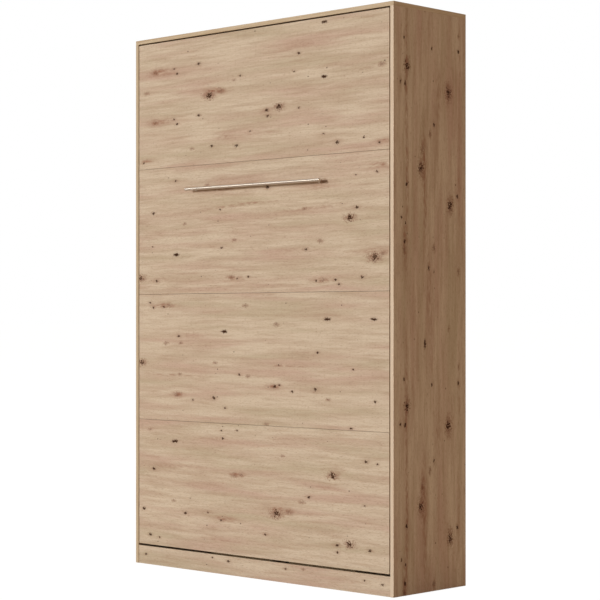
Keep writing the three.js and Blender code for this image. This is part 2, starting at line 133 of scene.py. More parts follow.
@dataclass(frozen=True)
class OakDecor:
    """Knotty oak print on melamine-faced board: flat satin colour, with the grain only printed.

    The eye gets soft lengthwise streaks, cloudy changes between a pink and an olive beige, small
    dark knots that the fibres bend round, and reddish stains drawn out along the grain.
    """

    name: str = "oak_melamine"
    pale: str = "#d2c0a4"
    rosy: str = "#c5aa92"
    olive: str = "#c3b294"
    streak: str = "#a88c70"
    stain: str = "#9b7259"
    halo: str = "#85573f"
    core: str = "#422a1b"
    roughness: float = 0.6
    cloud_mm: tuple[float, float] = (420.0, 38.0)  # length and width of the light and dark clouds
    tint_mm: tuple[float, float] = (800.0, 66.0)  # and of the pink and olive ones
    band_mm: tuple[float, float] = (230.0, 16.0)
    line_mm: tuple[float, float] = (120.0, 6.0)
    fibre_mm: tuple[float, float] = (60.0, 1.8)
    pore_mm: tuple[float, float] = (14.0, 0.9)
    flake_mm: tuple[float, float] = (26.0, 7.0)  # the breaks in a reddish stain
    wander_mm: tuple[float, float] = (420.0, 120.0)
    speck_cell_mm: float = 95.0

    def stretched(
        self, tree: bpy.types.NodeTree, place: bpy.types.Node, size: tuple[float, float]
    ) -> bpy.types.Node:
        """Scales the grain coordinate so that one noise cell is size[0] long and size[1] wide, in mm."""
        scale = (1 / (size[0] * MM), 1 / (size[1] * MM), 1 / (size[1] * MM))
        return add_node(tree, "ShaderNodeVectorMath", {0: place, 1: scale}, operation="MULTIPLY")

    def layer(
        self,
        tree: bpy.types.NodeTree,
        base: bpy.types.NodeSocket | tuple,
        fibres: bpy.types.Node,
        size: tuple[float, float],
        noise: tuple[float, float],
        limits: tuple[float, float, float],
        tone: str,
    ) -> tuple[bpy.types.NodeSocket, bpy.types.Node]:
        """Lays one tone over the colour so far where a stretched noise is high.

        Args:
            tree: The material's node tree.
            base: The colour so far.
            fibres: The bent grain coordinate.
            size: Length and width of one mark, in mm.
            noise: The noise's detail and roughness.
            limits: The noise values where the tone starts and where it is full, and its full strength.
            tone: The tone's sRGB hex colour.

        Returns:
            The new colour, and the strength of the tone at each point.
        """
        detail, roughness = noise
        start, full, strength = limits
        marks = {
            "Vector": self.stretched(tree, fibres, size),
            "Scale": 1.0,
            "Detail": detail,
            "Roughness": roughness,
        }
        marks = add_node(tree, "ShaderNodeTexNoise", marks).outputs["Fac"]
        amount = add_node(tree, "ShaderNodeMapRange", {0: marks, 1: start, 2: full, 3: 0.0, 4: strength})
        mixed = add_node(tree, "ShaderNodeMix", {0: amount, 6: base, 7: linear(tone)}, data_type="RGBA")
        return mixed.outputs[2], amount

    def knot_place(
        self,
        tree: bpy.types.NodeTree,
        grain: bpy.types.NodeSocket,
        knot: bpy.types.Node,
        look: bpy.types.Node,
    ) -> tuple[bpy.types.NodeSocket, bpy.types.NodeSocket, bpy.types.NodeSocket]:
        """Where a point lies in its nearest knot, in knot radii, roughened so that no knot is round.

        A tailed knot is three times as long as it is wide, and every halo is drawn out along the grain.

        Args:
            tree: The material's node tree.
            grain: The grain coordinate.
            knot: Offset along and across from the knot's centre, and its radius.
            look: Strengths of the knot's core and halo, and how drawn out it is.

        Returns:
            Smooth distance for bending the fibres, rough distance for the core, and the halo's distance.
        """
        ragged = add_node(tree, "ShaderNodeTexNoise", {"Vector": grain, "Scale": 170.0, "Detail": 2.0})
        jitter = {0: ragged.outputs["Color"], 1: (0.5, 0.5, 0.5)}
        jitter = add_node(tree, "ShaderNodeVectorMath", jitter, operation="SUBTRACT")
        wildness = add_node(tree, "ShaderNodeMapRange", {0: look.outputs["Y"], 3: 1.2, 4: 4.6})
        jitter = add_node(tree, "ShaderNodeVectorMath", {0: jitter, "Scale": wildness}, operation="SCALE")
        along = add_node(
            tree, "ShaderNodeMath", {0: knot.outputs["X"], 1: knot.outputs["Z"]}, operation="DIVIDE"
        )
        across = add_node(
            tree, "ShaderNodeMath", {0: knot.outputs["Y"], 1: knot.outputs["Z"]}, operation="DIVIDE"
        )
        local = add_node(tree, "ShaderNodeCombineXYZ", {"X": along, "Y": across, "Z": 0.0})
        rough = add_node(tree, "ShaderNodeVectorMath", {0: local, 1: jitter}, operation="ADD")
        squeeze = add_node(tree, "ShaderNodeMapRange", {0: look.outputs["Z"], 3: 0.72, 4: 0.32})
        squeeze = add_node(tree, "ShaderNodeCombineXYZ", {"X": squeeze, "Y": 1.0, "Z": 0.0})
        distances = []
        for place, scale in ((local, (0.5, 1.0, 0.0)), (rough, squeeze), (rough, (0.36, 0.85, 0.0))):
            scaled = add_node(tree, "ShaderNodeVectorMath", {0: place, 1: scale}, operation="MULTIPLY")
            length = add_node(tree, "ShaderNodeVectorMath", {0: scaled}, operation="LENGTH")
            distances.append(length.outputs["Value"])
        return tuple(distances)

    def bent_fibres(
        self,
        tree: bpy.types.NodeTree,
        grain: bpy.types.NodeSocket,
        offset: bpy.types.NodeSocket,
        distance: bpy.types.NodeSocket,
    ) -> bpy.types.Node:
        """The grain coordinate with fibres that bend round a knot and wander slowly.

        The across coordinate is pulled in by 0.75 of its offset from the knot times
        exp(-0.22 distance squared), and moved by a wide, slow noise of 12 mm.

        Args:
            tree: The material's node tree.
            grain: The grain coordinate.
            offset: Offset across the grain from the nearest knot.
            distance: Distance from that knot, in its radii.

        Returns:
            The bent coordinate.
        """
        pull = add_node(tree, "ShaderNodeMath", {0: distance, 1: distance}, operation="MULTIPLY")
        pull = add_node(tree, "ShaderNodeMath", {0: pull, 1: -0.22}, operation="MULTIPLY")
        pull = add_node(tree, "ShaderNodeMath", {0: pull}, operation="EXPONENT")
        pull = add_node(tree, "ShaderNodeMath", {0: pull, 1: offset}, operation="MULTIPLY")
        pull = add_node(tree, "ShaderNodeMath", {0: pull, 1: -0.75}, operation="MULTIPLY")
        slow = {"Vector": self.stretched(tree, grain, self.wander_mm), "Scale": 1.0, "Detail": 1.0}
        wander = add_node(tree, "ShaderNodeTexNoise", slow).outputs["Fac"]
        wander = add_node(tree, "ShaderNodeMath", {0: wander, 1: 0.012}, operation="MULTIPLY")
        shift = add_node(tree, "ShaderNodeMath", {0: pull, 1: wander}, operation="ADD")
        shift = add_node(tree, "ShaderNodeCombineXYZ", {"X": 0.0, "Y": shift, "Z": 0.0})
        return add_node(tree, "ShaderNodeVectorMath", {0: grain, 1: shift}, operation="ADD")

    def build(self) -> bpy.types.Material:
        """Builds the print from the boards' grain, knot and stain attributes.

        Returns:
            The material.
        """
        material, tree, shader = new_material(
            self.name, Roughness=self.roughness, IOR=1.5, Specular_IOR_Level=0.06
        )
        grain, offset, look = (
            add_node(tree, "ShaderNodeAttribute", attribute_name=name).outputs["Vector"]
            for name in ("grain", "knot", "knot_look")
        )
        stain = add_node(tree, "ShaderNodeAttribute", attribute_name="stain").outputs["Fac"]
        knot = add_node(tree, "ShaderNodeSeparateXYZ", {0: offset})
        look = add_node(tree, "ShaderNodeSeparateXYZ", {0: look})
        smooth, distance, wide = self.knot_place(tree, grain, knot, look)
        fibres = self.bent_fibres(tree, grain, knot.outputs["Y"], smooth)

        # Three tones in long clouds, then darker bands, fibre lines and pores, each a finer stretched noise.
        colour = linear(self.rosy)
        amounts = []
        for size, noise, limits, tone in (
            (self.tint_mm, (2.0, 0.5), (0.38, 0.62, 1.0), self.olive),
            (self.cloud_mm, (3.0, 0.5), (0.4, 0.6, 1.0), self.pale),
            (self.band_mm, (4.0, 0.6), (0.47, 0.75, 0.5), self.streak),
            (self.line_mm, (3.0, 0.5), (0.5, 0.74, 0.24), self.streak),
            (self.fibre_mm, (2.0, 0.5), (0.45, 0.75, 0.35), self.streak),
            (self.pore_mm, (0.0, 0.5), (0.66, 0.74, 0.45), self.halo),
        ):
            colour, amount = self.layer(tree, colour, fibres, size, noise, limits, tone)
            amounts.append(amount)
        fibre, pore = amounts[-2:]

        # Reddish stain, broken up by the fibres, then the knot's halo and its core.
        broken = {"Vector": self.stretched(tree, fibres, self.flake_mm), "Scale": 1.0, "Detail": 3.0}
        broken = add_node(tree, "ShaderNodeTexNoise", broken).outputs["Fac"]
        broken = add_node(tree, "ShaderNodeMapRange", {0: broken, 1: 0.3, 2: 0.65})
        patch = add_node(tree, "ShaderNodeMath", {0: stain, 1: broken}, operation="MULTIPLY")
        patch = add_node(tree, "ShaderNodeMath", {0: patch, 1: 1.35}, operation="MULTIPLY", use_clamp=True)
        halo = {0: wide, 1: 1.6, 2: 0.4, 3: 0.0, 4: 0.62}
        halo = add_node(tree, "ShaderNodeMapRange", halo, interpolation_type="SMOOTHSTEP")
        halo = add_node(tree, "ShaderNodeMath", {0: halo, 1: look.outputs["Y"]}, operation="MULTIPLY")
        core = add_node(
            tree, "ShaderNodeMapRange", {0: distance, 1: 0.95, 2: 0.4}, interpolation_type="SMOOTHSTEP"
        )
        core = add_node(tree, "ShaderNodeMath", {0: core, 1: look.outputs["X"]}, operation="MULTIPLY")
        dark = add_node(tree, "ShaderNodeMath", {0: core, 1: self.specks(tree, grain)}, operation="MAXIMUM")
        for amount, tone in ((patch, self.stain), (halo, self.halo), (dark, self.core)):
            mixed = add_node(tree, "ShaderNodeMix", {0: amount, 6: colour, 7: linear(tone)}, data_type="RGBA")
            colour = mixed.outputs[2]
        tree.links.new(colour, shader.inputs["Base Color"])

        # The press plate gives the board a faint pore relief.
        relief = add_node(tree, "ShaderNodeMath", {0: pore, 1: fibre}, operation="ADD")
        bump = add_node(
            tree, "ShaderNodeBump", {"Height": relief, "Strength": 0.12, "Distance": 0.0001}, invert=True
        )
        tree.links.new(bump.outputs[0], shader.inputs["Normal"])
        return material

    def specks(self, tree: bpy.types.NodeTree, grain: bpy.types.NodeSocket) -> bpy.types.Node:
        """Pin knots of 2 to 3 mm, at most one in each cell and only in some cells."""
        cells = self.stretched(tree, grain, (self.speck_cell_mm, self.speck_cell_mm * 0.7))
        voronoi = add_node(
            tree, "ShaderNodeTexVoronoi", {"Vector": cells, "Scale": 1.0}, voronoi_dimensions="2D"
        )
        chance = add_node(tree, "ShaderNodeSeparateXYZ", {0: voronoi.outputs["Color"]})
        radius = add_node(
            tree, "ShaderNodeMapRange", {0: chance.outputs["X"], 1: 0.62, 2: 1.0, 3: 0.0, 4: 0.042}
        )
        inside = add_node(
            tree, "ShaderNodeMath", {0: radius, 1: voronoi.outputs["Distance"]}, operation="SUBTRACT"
        )
        return add_node(tree, "ShaderNodeMapRange", {0: inside, 1: -0.004, 2: 0.012, 3: 0.0, 4: 0.72})


@dataclass(frozen=True)
class EdgeBand:
    """Printed ABS edge band, 0.8 mm thick: close to the board's colour, with plain straight grain."""

    name: str = "abs_edge_band"
    pale: str = "#c8b493"
    streak: str = "#b39873"
    fibre_mm: tuple[float, float] = (160.0, 2.6)

    def build(self) -> bpy.types.Material:
        """Builds the band: one stretched noise between two beiges."""
        material, tree, shader = new_material(self.name, Roughness=0.5, IOR=1.5, Specular_IOR_Level=0.22)
        grain = add_node(tree, "ShaderNodeAttribute", attribute_name="grain").outputs["Vector"]
        scale = (1 / (self.fibre_mm[0] * MM), 1 / (self.fibre_mm[1] * MM), 1 / (self.fibre_mm[1] * MM))
        place = add_node(tree, "ShaderNodeVectorMath", {0: grain, 1: scale}, operation="MULTIPLY")
        noise = add_node(tree, "ShaderNodeTexNoise", {"Vector": place, "Scale": 1.0, "Detail": 3.0})
        amount = add_node(tree, "ShaderNodeMapRange", {0: noise.outputs["Fac"], 1: 0.4, 2: 0.75})
        tones = {0: amount, 6: linear(self.pale), 7: linear(self.streak)}
        colour = add_node(tree, "ShaderNodeMix", tones, data_type="RGBA")
        tree.links.new(colour.outputs[2], shader.inputs["Base Color"])
        return material


@dataclass(frozen=True)
class Chipboard:
    """Raw particle board at an unbanded rear edge: pressed wood flakes of 1 to 4 mm, dull and pale brown."""

    name: str = "raw_particle_board"
    flakes: tuple[str, str, str] = ("#b8946a", "#8f6b45", "#d2b388")
    flake_mm: float = 2.4

    def build(self) -> bpy.types.Material:
        """Builds the flakes: Voronoi cells coloured at random between three browns."""
        material, tree, shader = new_material(self.name, Roughness=0.9)
        place = add_node(tree, "ShaderNodeTexCoord").outputs["Object"]
        cells = add_node(tree, "ShaderNodeTexVoronoi", {"Vector": place, "Scale": 1 / (self.flake_mm * MM)})
        pick = add_node(tree, "ShaderNodeSeparateXYZ", {0: cells.outputs["Color"]})
        first, second, third = (linear(c) for c in self.flakes)
        colour = add_node(
            tree, "ShaderNodeMix", {0: pick.outputs["X"], 6: first, 7: second}, data_type="RGBA"
        )
        light = add_node(tree, "ShaderNodeMapRange", {0: pick.outputs["Y"], 1: 0.6, 2: 0.9})
        colour = add_node(tree, "ShaderNodeMix", {0: light, 6: colour.outputs[2], 7: third}, data_type="RGBA")
        tree.links.new(colour.outputs[2], shader.inputs["Base Color"])
        relief = {"Height": cells.outputs["Distance"], "Strength": 0.4, "Distance": 0.0004}
        bump = add_node(tree, "ShaderNodeBump", relief)
        tree.links.new(bump.outputs[0], shader.inputs["Normal"])
        return material


@dataclass(frozen=True)
class Metal:
    """A plated or painted metal: one colour, with its grain or orange peel in roughness and relief."""

    name: str
    colour: str
    metallic: float
    roughness: tuple[float, float]
    texture_mm: tuple[float, float, float]  # size of one mark along X, Y and Z
    relief_mm: float
    coat: float = 0.0

    def build(self) -> bpy.types.Material:
        """Builds the metal with a stretched noise that drives its roughness and a fine relief."""
        material, tree, shader = new_material(
            self.name,
            Base_Color=linear(self.colour),
            Metallic=self.metallic,
            Coat_Weight=self.coat,
            Coat_Roughness=0.12,
        )
        place = add_node(tree, "ShaderNodeTexCoord").outputs["Object"]
        scale = tuple(1 / (size * MM) for size in self.texture_mm)
        place = add_node(tree, "ShaderNodeVectorMath", {0: place, 1: scale}, operation="MULTIPLY")
        noise = add_node(tree, "ShaderNodeTexNoise", {"Vector": place, "Scale": 1.0, "Detail": 2.0})
        low, high = self.roughness
        amount = add_node(
            tree, "ShaderNodeMapRange", {0: noise.outputs["Fac"], 1: 0.25, 2: 0.75, 3: low, 4: high}
        )
        tree.links.new(amount.outputs[0], shader.inputs["Roughness"])
        relief = {"Height": noise.outputs["Fac"], "Strength": 0.35, "Distance": self.relief_mm * MM}
        bump = add_node(tree, "ShaderNodeBump", relief)
        tree.links.new(bump.outputs[0], shader.inputs["Normal"])
        return material


@dataclass(frozen=True)
class BirchPly:
    """Lacquered birch plywood for the slats: pale yellow face veneer, with brown glue lines on the edges."""

    name: str = "birch_plywood"
    face: str = "#e3c79b"
    figure: str = "#cfa971"
    glue: str = "#8a6238"
    ply_mm: float = 1.35

    def build(self) -> bpy.types.Material:
        """Builds the plywood: veneer figure along X, and plies counted through the slat's thickness in Y."""
        material, tree, shader = new_material(self.name, Roughness=0.42, IOR=1.5, Coat_Weight=0.15)
        place = add_node(tree, "ShaderNodeTexCoord").outputs["Object"]
        along = add_node(
            tree, "ShaderNodeVectorMath", {0: place, 1: (4.0, 90.0, 130.0)}, operation="MULTIPLY"
        )
        noise = add_node(
            tree, "ShaderNodeTexNoise", {"Vector": along, "Scale": 1.0, "Detail": 4.0, "Distortion": 0.4}
        )
        amount = add_node(tree, "ShaderNodeMapRange", {0: noise.outputs["Fac"], 1: 0.4, 2: 0.7})
        tones = {0: amount, 6: linear(self.face), 7: linear(self.figure)}
        face = add_node(tree, "ShaderNodeMix", tones, data_type="RGBA")
        normal = add_node(tree, "ShaderNodeTexCoord").outputs["Normal"]
        upright = add_node(tree, "ShaderNodeSeparateXYZ", {0: normal})
        edge = add_node(tree, "ShaderNodeMath", {0: upright.outputs["Z"]}, operation="ABSOLUTE")
        edge = add_node(tree, "ShaderNodeMapRange", {0: edge, 1: 0.6, 2: 0.9})
        depth = add_node(tree, "ShaderNodeSeparateXYZ", {0: place})
        plies = {0: depth.outputs["Y"], 1: math.pi / (self.ply_mm * MM)}
        plies = add_node(tree, "ShaderNodeMath", plies, operation="MULTIPLY")
        plies = add_node(tree, "ShaderNodeMath", {0: plies}, operation="SINE")
        plies = add_node(tree, "ShaderNodeMath", {0: plies}, operation="ABSOLUTE")
        line = add_node(tree, "ShaderNodeMapRange", {0: plies, 1: 0.5, 2: 0.1, 3: 0.0, 4: 0.8})
        line = add_node(tree, "ShaderNodeMath", {0: line, 1: edge}, operation="MULTIPLY")
        colour = add_node(
            tree, "ShaderNodeMix", {0: line, 6: face.outputs[2], 7: linear(self.glue)}, data_type="RGBA"
        )
        tree.links.new(colour.outputs[2], shader.inputs["Base Color"])
        return material


@dataclass(frozen=True)
class Fabric:
    """A knit or woven cloth: two crossed sets of threads give the weave, and sheen gives its soft edge."""

    name: str
    thread: str
    gap: str
    pitch_mm: tuple[float, float]  # thread spacing along the two crossed directions
    relief_mm: float
    sheen: float

    def build(self) -> bpy.types.Material:
        """Builds the weave: the product of two sine waves over X with Y and over Z with Y."""
        material, tree, shader = new_material(
            self.name, Roughness=0.92, Sheen_Weight=self.sheen, Sheen_Roughness=0.5
        )
        place = add_node(tree, "ShaderNodeTexCoord").outputs["Object"]
        split = add_node(tree, "ShaderNodeSeparateXYZ", {0: place})
        waves = []
        for axis, way, pitch in (("X", "ADD", self.pitch_mm[0]), ("Z", "SUBTRACT", self.pitch_mm[1])):
            wave = {0: split.outputs[axis], 1: split.outputs["Y"]}
            wave = add_node(tree, "ShaderNodeMath", wave, operation=way)
            wave = add_node(
                tree, "ShaderNodeMath", {0: wave, 1: 2 * math.pi / (pitch * MM)}, operation="MULTIPLY"
            )
            waves.append(add_node(tree, "ShaderNodeMath", {0: wave}, operation="SINE"))
        weave = add_node(tree, "ShaderNodeMath", {0: waves[0], 1: waves[1]}, operation="MULTIPLY")
        slub = add_node(tree, "ShaderNodeTexNoise", {"Vector": place, "Scale": 60.0, "Detail": 3.0})
        height = add_node(tree, "ShaderNodeMath", {0: weave, 1: slub.outputs["Fac"]}, operation="ADD")
        amount = add_node(tree, "ShaderNodeMapRange", {0: height, 1: -0.6, 2: 0.9})
        tones = {0: amount, 6: linear(self.gap), 7: linear(self.thread)}
        colour = add_node(tree, "ShaderNodeMix", tones, data_type="RGBA")
        tree.links.new(colour.outputs[2], shader.inputs["Base Color"])
        bump = add_node(
            tree, "ShaderNodeBump", {"Height": height, "Strength": 0.6, "Distance": self.relief_mm * MM}
        )
        tree.links.new(bump.outputs[0], shader.inputs["Normal"])
        return material


@dataclass(frozen=True)
class Moulded:
    """Injection-moulded plastic: an even colour with the fine spark texture of the tool."""

    name: str
    colour: str
    roughness: float
    spark_mm: float = 0.9

    def build(self) -> bpy.types.Material:
        """Builds the plastic: a faint noise in the colour and a relief at the spark size."""
        material, tree, shader = new_material(self.name, Roughness=self.roughness, IOR=1.5)
        place = add_node(tree, "ShaderNodeTexCoord").outputs["Object"]
        grit = {"Vector": place, "Scale": 1 / (self.spark_mm * MM), "Detail": 2.0}
        spark = add_node(tree, "ShaderNodeTexNoise", grit)
        base = linear(self.colour)
        lighter = tuple(min(1.0, c * 1.25 + 0.004) for c in base[:3]) + (1.0,)
        colour = add_node(
            tree, "ShaderNodeMix", {0: spark.outputs["Fac"], 6: base, 7: lighter}, data_type="RGBA"
        )
        tree.links.new(colour.outputs[2], shader.inputs["Base Color"])
        bump = add_node(
            tree, "ShaderNodeBump", {"Height": spark.outputs["Fac"], "Strength": 0.25, "Distance": 0.0001}
        )
        tree.links.new(bump.outputs[0], shader.inputs["Normal"])
        return material


class Finish(Enum):
    """Every finish on the bed, by the maker's name for it."""

    OAK = OakDecor()
    BAND = EdgeBand()
    # The same band made a shade paler: a painted highlight for where the light rakes it.
    PALE_BAND = EdgeBand("abs_edge_band_painted_highlight", "#dcc9ad", "#cbb191")
    CHIPBOARD = Chipboard()
    # Sprayed and baked powder on steel: near black, half matt, with a faint orange peel.
    POWDER_COAT = Metal("black_powder_coat", "#35383b", 0.0, (0.42, 0.6), (1.1, 1.1, 1.1), 0.05, coat=0.1)
    # Nickel brushed along the bar: warm grey, with one long soft highlight.
    SATIN_NICKEL = Metal("satin_nickel", "#b9ae9f", 1.0, (0.2, 0.28), (60.0, 0.6, 0.6), 0.004)
    # Passivated zinc on turned and pressed steel: bluish, with cloudy patches of gloss.
    ZINC = Metal("bright_zinc_plate", "#c3c7cb", 1.0, (0.25, 0.42), (6.0, 2.0, 2.0), 0.01)
    # Ground and plated strut rod: a clear mirror, with only the faintest lengthwise marks.
    CHROME = Metal("hard_chrome", "#e6e8ea", 1.0, (0.06, 0.12), (1.5, 1.5, 40.0), 0.001)
    # Wet enamel on the strut's tube: black and glossy, slightly wavy.
    STRUT_PAINT = Metal("strut_paint", "#17181a", 0.0, (0.22, 0.3), (2.5, 2.5, 2.5), 0.01, coat=0.5)
    BIRCH = BirchPly()
    # Circular-knit polyester: off-white and soft. Real stitches are 1 mm, drawn coarser so that they show.
    TICKING = Fabric("knitted_ticking", "#efece4", "#cfcabf", (2.2, 2.2), 0.35, 0.35)
    # Woven border, heavier than the panels: light grey, with a visible basket weave.
    BORDER = Fabric("woven_mattress_border", "#a9aaa8", "#84868a", (3.0, 3.0), 0.3, 0.25)
    # Bias tape sewn over a cord: mid grey, finely ribbed.
    PIPING = Fabric("piping_tape", "#8f9193", "#6c6e72", (1.6, 1.6), 0.2, 0.25)
    # Woven strap: charcoal, with deep ribs and a dull shine.
    WEBBING = Fabric("polypropylene_webbing", "#3a3b3e", "#17181a", (2.4, 2.4), 0.5, 0.15)
    # Moulded polyamide: black and half matt, with the tool's spark texture.
    NYLON = Moulded("black_nylon", "#212223", 0.45)
    # Moulded polyethylene cap in a beige that sinks into the decor.
    CAP_PLASTIC = Moulded("beige_cap_plastic", "#c3a98c", 0.5)

    @property
    def material(self) -> bpy.types.Material:
        """The finish's material, built the first time that it is asked for."""
        return bpy.data.materials.get(self.value.name) or self.value.build()


# ---------------------------------------------------------------- surfaces


def make_object(
    name: str,
    points: np.ndarray,
    faces: list,
    finishes: list[Finish],
    sharp_degrees: float = 35.0,
) -> bpy.types.Object:
    """Puts a closed surface into the scene, faces outwards, smooth except at sharp edges.

    Args:
        name: The piece's name.
        points: Vertex places, one row each.
        faces: Vertex numbers of each face.
        finishes: The piece's finishes in slot order.
        sharp_degrees: Edges that turn by more than this stay sharp.

    Returns:
        The object, at the origin, with its place in its mesh.
    """
    mesh = bpy.data.meshes.new(name)
    mesh.from_pydata(np.asarray(points, float).tolist(), [], faces)
    shell = bmesh.new()
    shell.from_mesh(mesh)
    bmesh.ops.recalc_face_normals(shell, faces=shell.faces)
    shell.to_mesh(mesh)
    shell.free()
    for finish in finishes:
        mesh.materials.append(finish.material)
    mesh.polygons.foreach_set("use_smooth", np.ones(len(mesh.polygons), bool))
    mesh.set_sharp_from_angle(angle=math.radians(sharp_degrees))
    piece = bpy.data.objects.new(name, mesh)
    bpy.context.scene.collection.objects.link(piece)
    return piece


def declare(piece: bpy.types.Object, body: str, slot: str, *replaced: str) -> bpy.types.Object:
    """Says which body a piece rides on and the CAD nodes it stands for.

    Args:
        piece: The finished piece.
        body: The CAD body.
        slot: The record's material slot; not used.
        *replaced: CAD nodes that the piece replaces.

    Returns:
        The piece.
    """
    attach(piece, body)
    if replaced:
        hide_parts(*replaced)
    LOG.info("%-28s rides on %-20s %6d faces", piece.name, body, len(piece.data.polygons))
    return piece


def bevelled(piece: bpy.types.Object, width_mm: float, segments: int = 2) -> bpy.types.Object:
    """Rounds a piece's sharp edges to a real edge radius with a Bevel modifier."""
    bevel = piece.modifiers.new("edge_radius", "BEVEL")
    bevel.width = width_mm * MM
    bevel.segments = segments
    bevel.limit_method = "ANGLE"
    bevel.angle_limit = math.radians(35)
    bevel.use_clamp_overlap = True
    return piece


def lattice_box(low: np.ndarray, high: np.ndarray, step: np.ndarray) -> tuple[np.ndarray, list]:
    """A closed box whose six sides are grids of about step, sharing their edge points.

    Each side is the set of lattice cells with one coordinate held at an end; equal lattice
    points are merged.

    Args:
        low: Lowest corner.
        high: Highest corner.
        step: Wanted cell size along X, Y and Z.

    Returns:
        Points and four-sided faces.
    """
    counts = np.maximum(1, np.rint((high - low) / step)).astype(int)
    unit = np.eye(3, dtype=int)
    sides = []
    for axis in range(3):
        u, v = (axis + 1) % 3, (axis + 2) % 3
        cells = np.indices((counts[u], counts[v])).reshape(2, -1).T
        corner = cells[:, :1] * unit[u] + cells[:, 1:] * unit[v]
        quad = np.stack([corner, corner + unit[u], corner + unit[u] + unit[v], corner + unit[v]], axis=1)
        sides.append(quad[:, ::-1])
        sides.append(quad + unit[axis] * counts[axis])
    lattice, faces = np.unique(np.concatenate(sides).reshape(-1, 3), axis=0, return_inverse=True)
    return low + lattice / counts * (high - low), faces.reshape(-1, 4).tolist()


def loft(rings: np.ndarray, closed_path: bool = False) -> tuple[np.ndarray, list]:
    """Joins rings of equal point counts with quads; an open loft gets one flat face at each end.

    Args:
        rings: Array of rings, points and coordinates.
        closed_path: True where the last ring joins the first, as on a tube with a bore.

    Returns:
        Points and faces.
    """
    count, around = rings.shape[:2]
    i, j = np.indices((count if closed_path else count - 1, around))
    after, beside = (i + 1) % count, (j + 1) % around
    quads = np.stack(
        [i * around + j, i * around + beside, after * around + beside, after * around + j], axis=-1
    )
    faces = quads.reshape(-1, 4).tolist()
    if not closed_path:
        faces.append(list(range(around))[::-1])
        faces.append(list(range((count - 1) * around, count * around)))
    return rings.reshape(-1, 3), faces


def chamfered(profile: np.ndarray, size: float) -> np.ndarray:
    """Cuts each inner corner of a profile by size: two points, one on each neighbouring side, replace it."""
    before, corner, after = profile[:-2], profile[1:-1], profile[2:]
    back, ahead = before - corner, after - corner
    reach_back = np.minimum(size, np.linalg.norm(back, axis=1) * 0.45)[:, None]
    reach_ahead = np.minimum(size, np.linalg.norm(ahead, axis=1) * 0.45)[:, None]
    first = corner + back / np.linalg.norm(back, axis=1)[:, None] * reach_back
    second = corner + ahead / np.linalg.norm(ahead, axis=1)[:, None] * reach_ahead
    middle = np.stack([first, second], axis=1).reshape(-1, profile.shape[1])
    return np.concatenate([profile[:1], middle, profile[-1:]])


def lathe(
    profile_mm: list, sides: int = 56, chamfer_mm: float = 0.4, hollow: bool = False
) -> tuple[np.ndarray, list]:
    """Turns a (radius, height) profile about Z: each profile point becomes a circle of points.

    Args:
        profile_mm: The profile in mm; a hollow one closes on itself.
        sides: Points in each circle.
        chamfer_mm: Size of the corner cuts.
        hollow: True for a ring with a bore.

    Returns:
        Points in metres and faces.
    """
    profile = np.array(profile_mm, float) * MM
    if hollow:
        wrapped = np.concatenate([profile[-1:], profile, profile[:1]])
        profile = chamfered(wrapped, chamfer_mm * MM)[1:-1]
    else:
        profile = chamfered(profile, chamfer_mm * MM)
    angle = np.linspace(0, 2 * np.pi, sides, endpoint=False)
    circle = np.stack([np.cos(angle), np.sin(angle)], axis=-1)
    flat = profile[:, None, :1] * circle[None]
    height = np.broadcast_to(profile[:, None, 1:], (len(profile), sides, 1))
    return loft(np.concatenate([flat, height], axis=-1), closed_path=hollow)


def pin_profile(*cylinders: tuple[float, float, float]) -> list:
    """The profile of stepped cylinders of (radius, from, to), closed near the axis at both ends."""
    steps = [(radius, height) for radius, start, end in cylinders for height in (start, end)]
    first, last = steps[0], steps[-1]
    return [(first[0] * 0.3, first[1]), *steps, (last[0] * 0.3, last[1])]


def aimed(points: np.ndarray, origin: Vector, direction: Vector) -> np.ndarray:
    """Turns points from the Z axis to a direction and moves them to an origin."""
    turn = np.array(Vector((0, 0, 1)).rotation_difference(Vector(direction).normalized()).to_matrix())
    return points @ turn.T + np.array(origin)


def rounded_outline(width: float, height: float, radius: float, corner_points: int = 6) -> np.ndarray:
    """A closed rectangle outline about the origin with quarter circles at its corners."""
    quarter = np.linspace(0, np.pi / 2, corner_points)
    turns = np.arange(4)[:, None] * np.pi / 2 + quarter
    centre = np.array([[1, 1], [-1, 1], [-1, -1], [1, -1]]) * (np.array([width, height]) / 2 - radius)
    arcs = centre[:, None] + radius * np.stack([np.cos(turns), np.sin(turns)], axis=-1)
    return arcs.reshape(-1, 2)


def merged_surfaces(parts: list[tuple[np.ndarray, list]]) -> tuple[np.ndarray, list]:
    """Puts several separate surfaces into one point and face list."""
    points, faces, count = [], [], 0
    for part_points, part_faces in parts:
        points.append(part_points)
        faces += [[index + count for index in face] for face in part_faces]
        count += len(part_points)
    return np.concatenate(points), faces


def refined_copy(node: str, name: str, finish: Finish, edge_mm: float) -> bpy.types.Object:
    """A copy of a CAD node with merged points, flat faces joined up and rounded edges.

    Args:
        node: The CAD node.
        name: The new piece's name.
        finish: Its finish.
        edge_mm: Edge radius.

    Returns:
        The new piece.
    """
    shell = bmesh.new()
    shell.from_mesh(frame["nodes"][node].data)
    bmesh.ops.remove_doubles(shell, verts=shell.verts, dist=0.00002)
    bmesh.ops.dissolve_limit(shell, angle_limit=math.radians(0.5), verts=shell.verts, edges=shell.edges)
    mesh = bpy.data.meshes.new(name)
    shell.to_mesh(mesh)
    shell.free()
    mesh.materials.append(finish.material)
    mesh.polygons.foreach_set("use_smooth", np.ones(len(mesh.polygons), bool))
    mesh.set_sharp_from_angle(angle=math.radians(35))
    piece = bpy.data.objects.new(name, mesh)
    bpy.context.scene.collection.objects.link(piece)
    return bevelled(piece, edge_mm)


# ---------------------------------------------------------------- boards


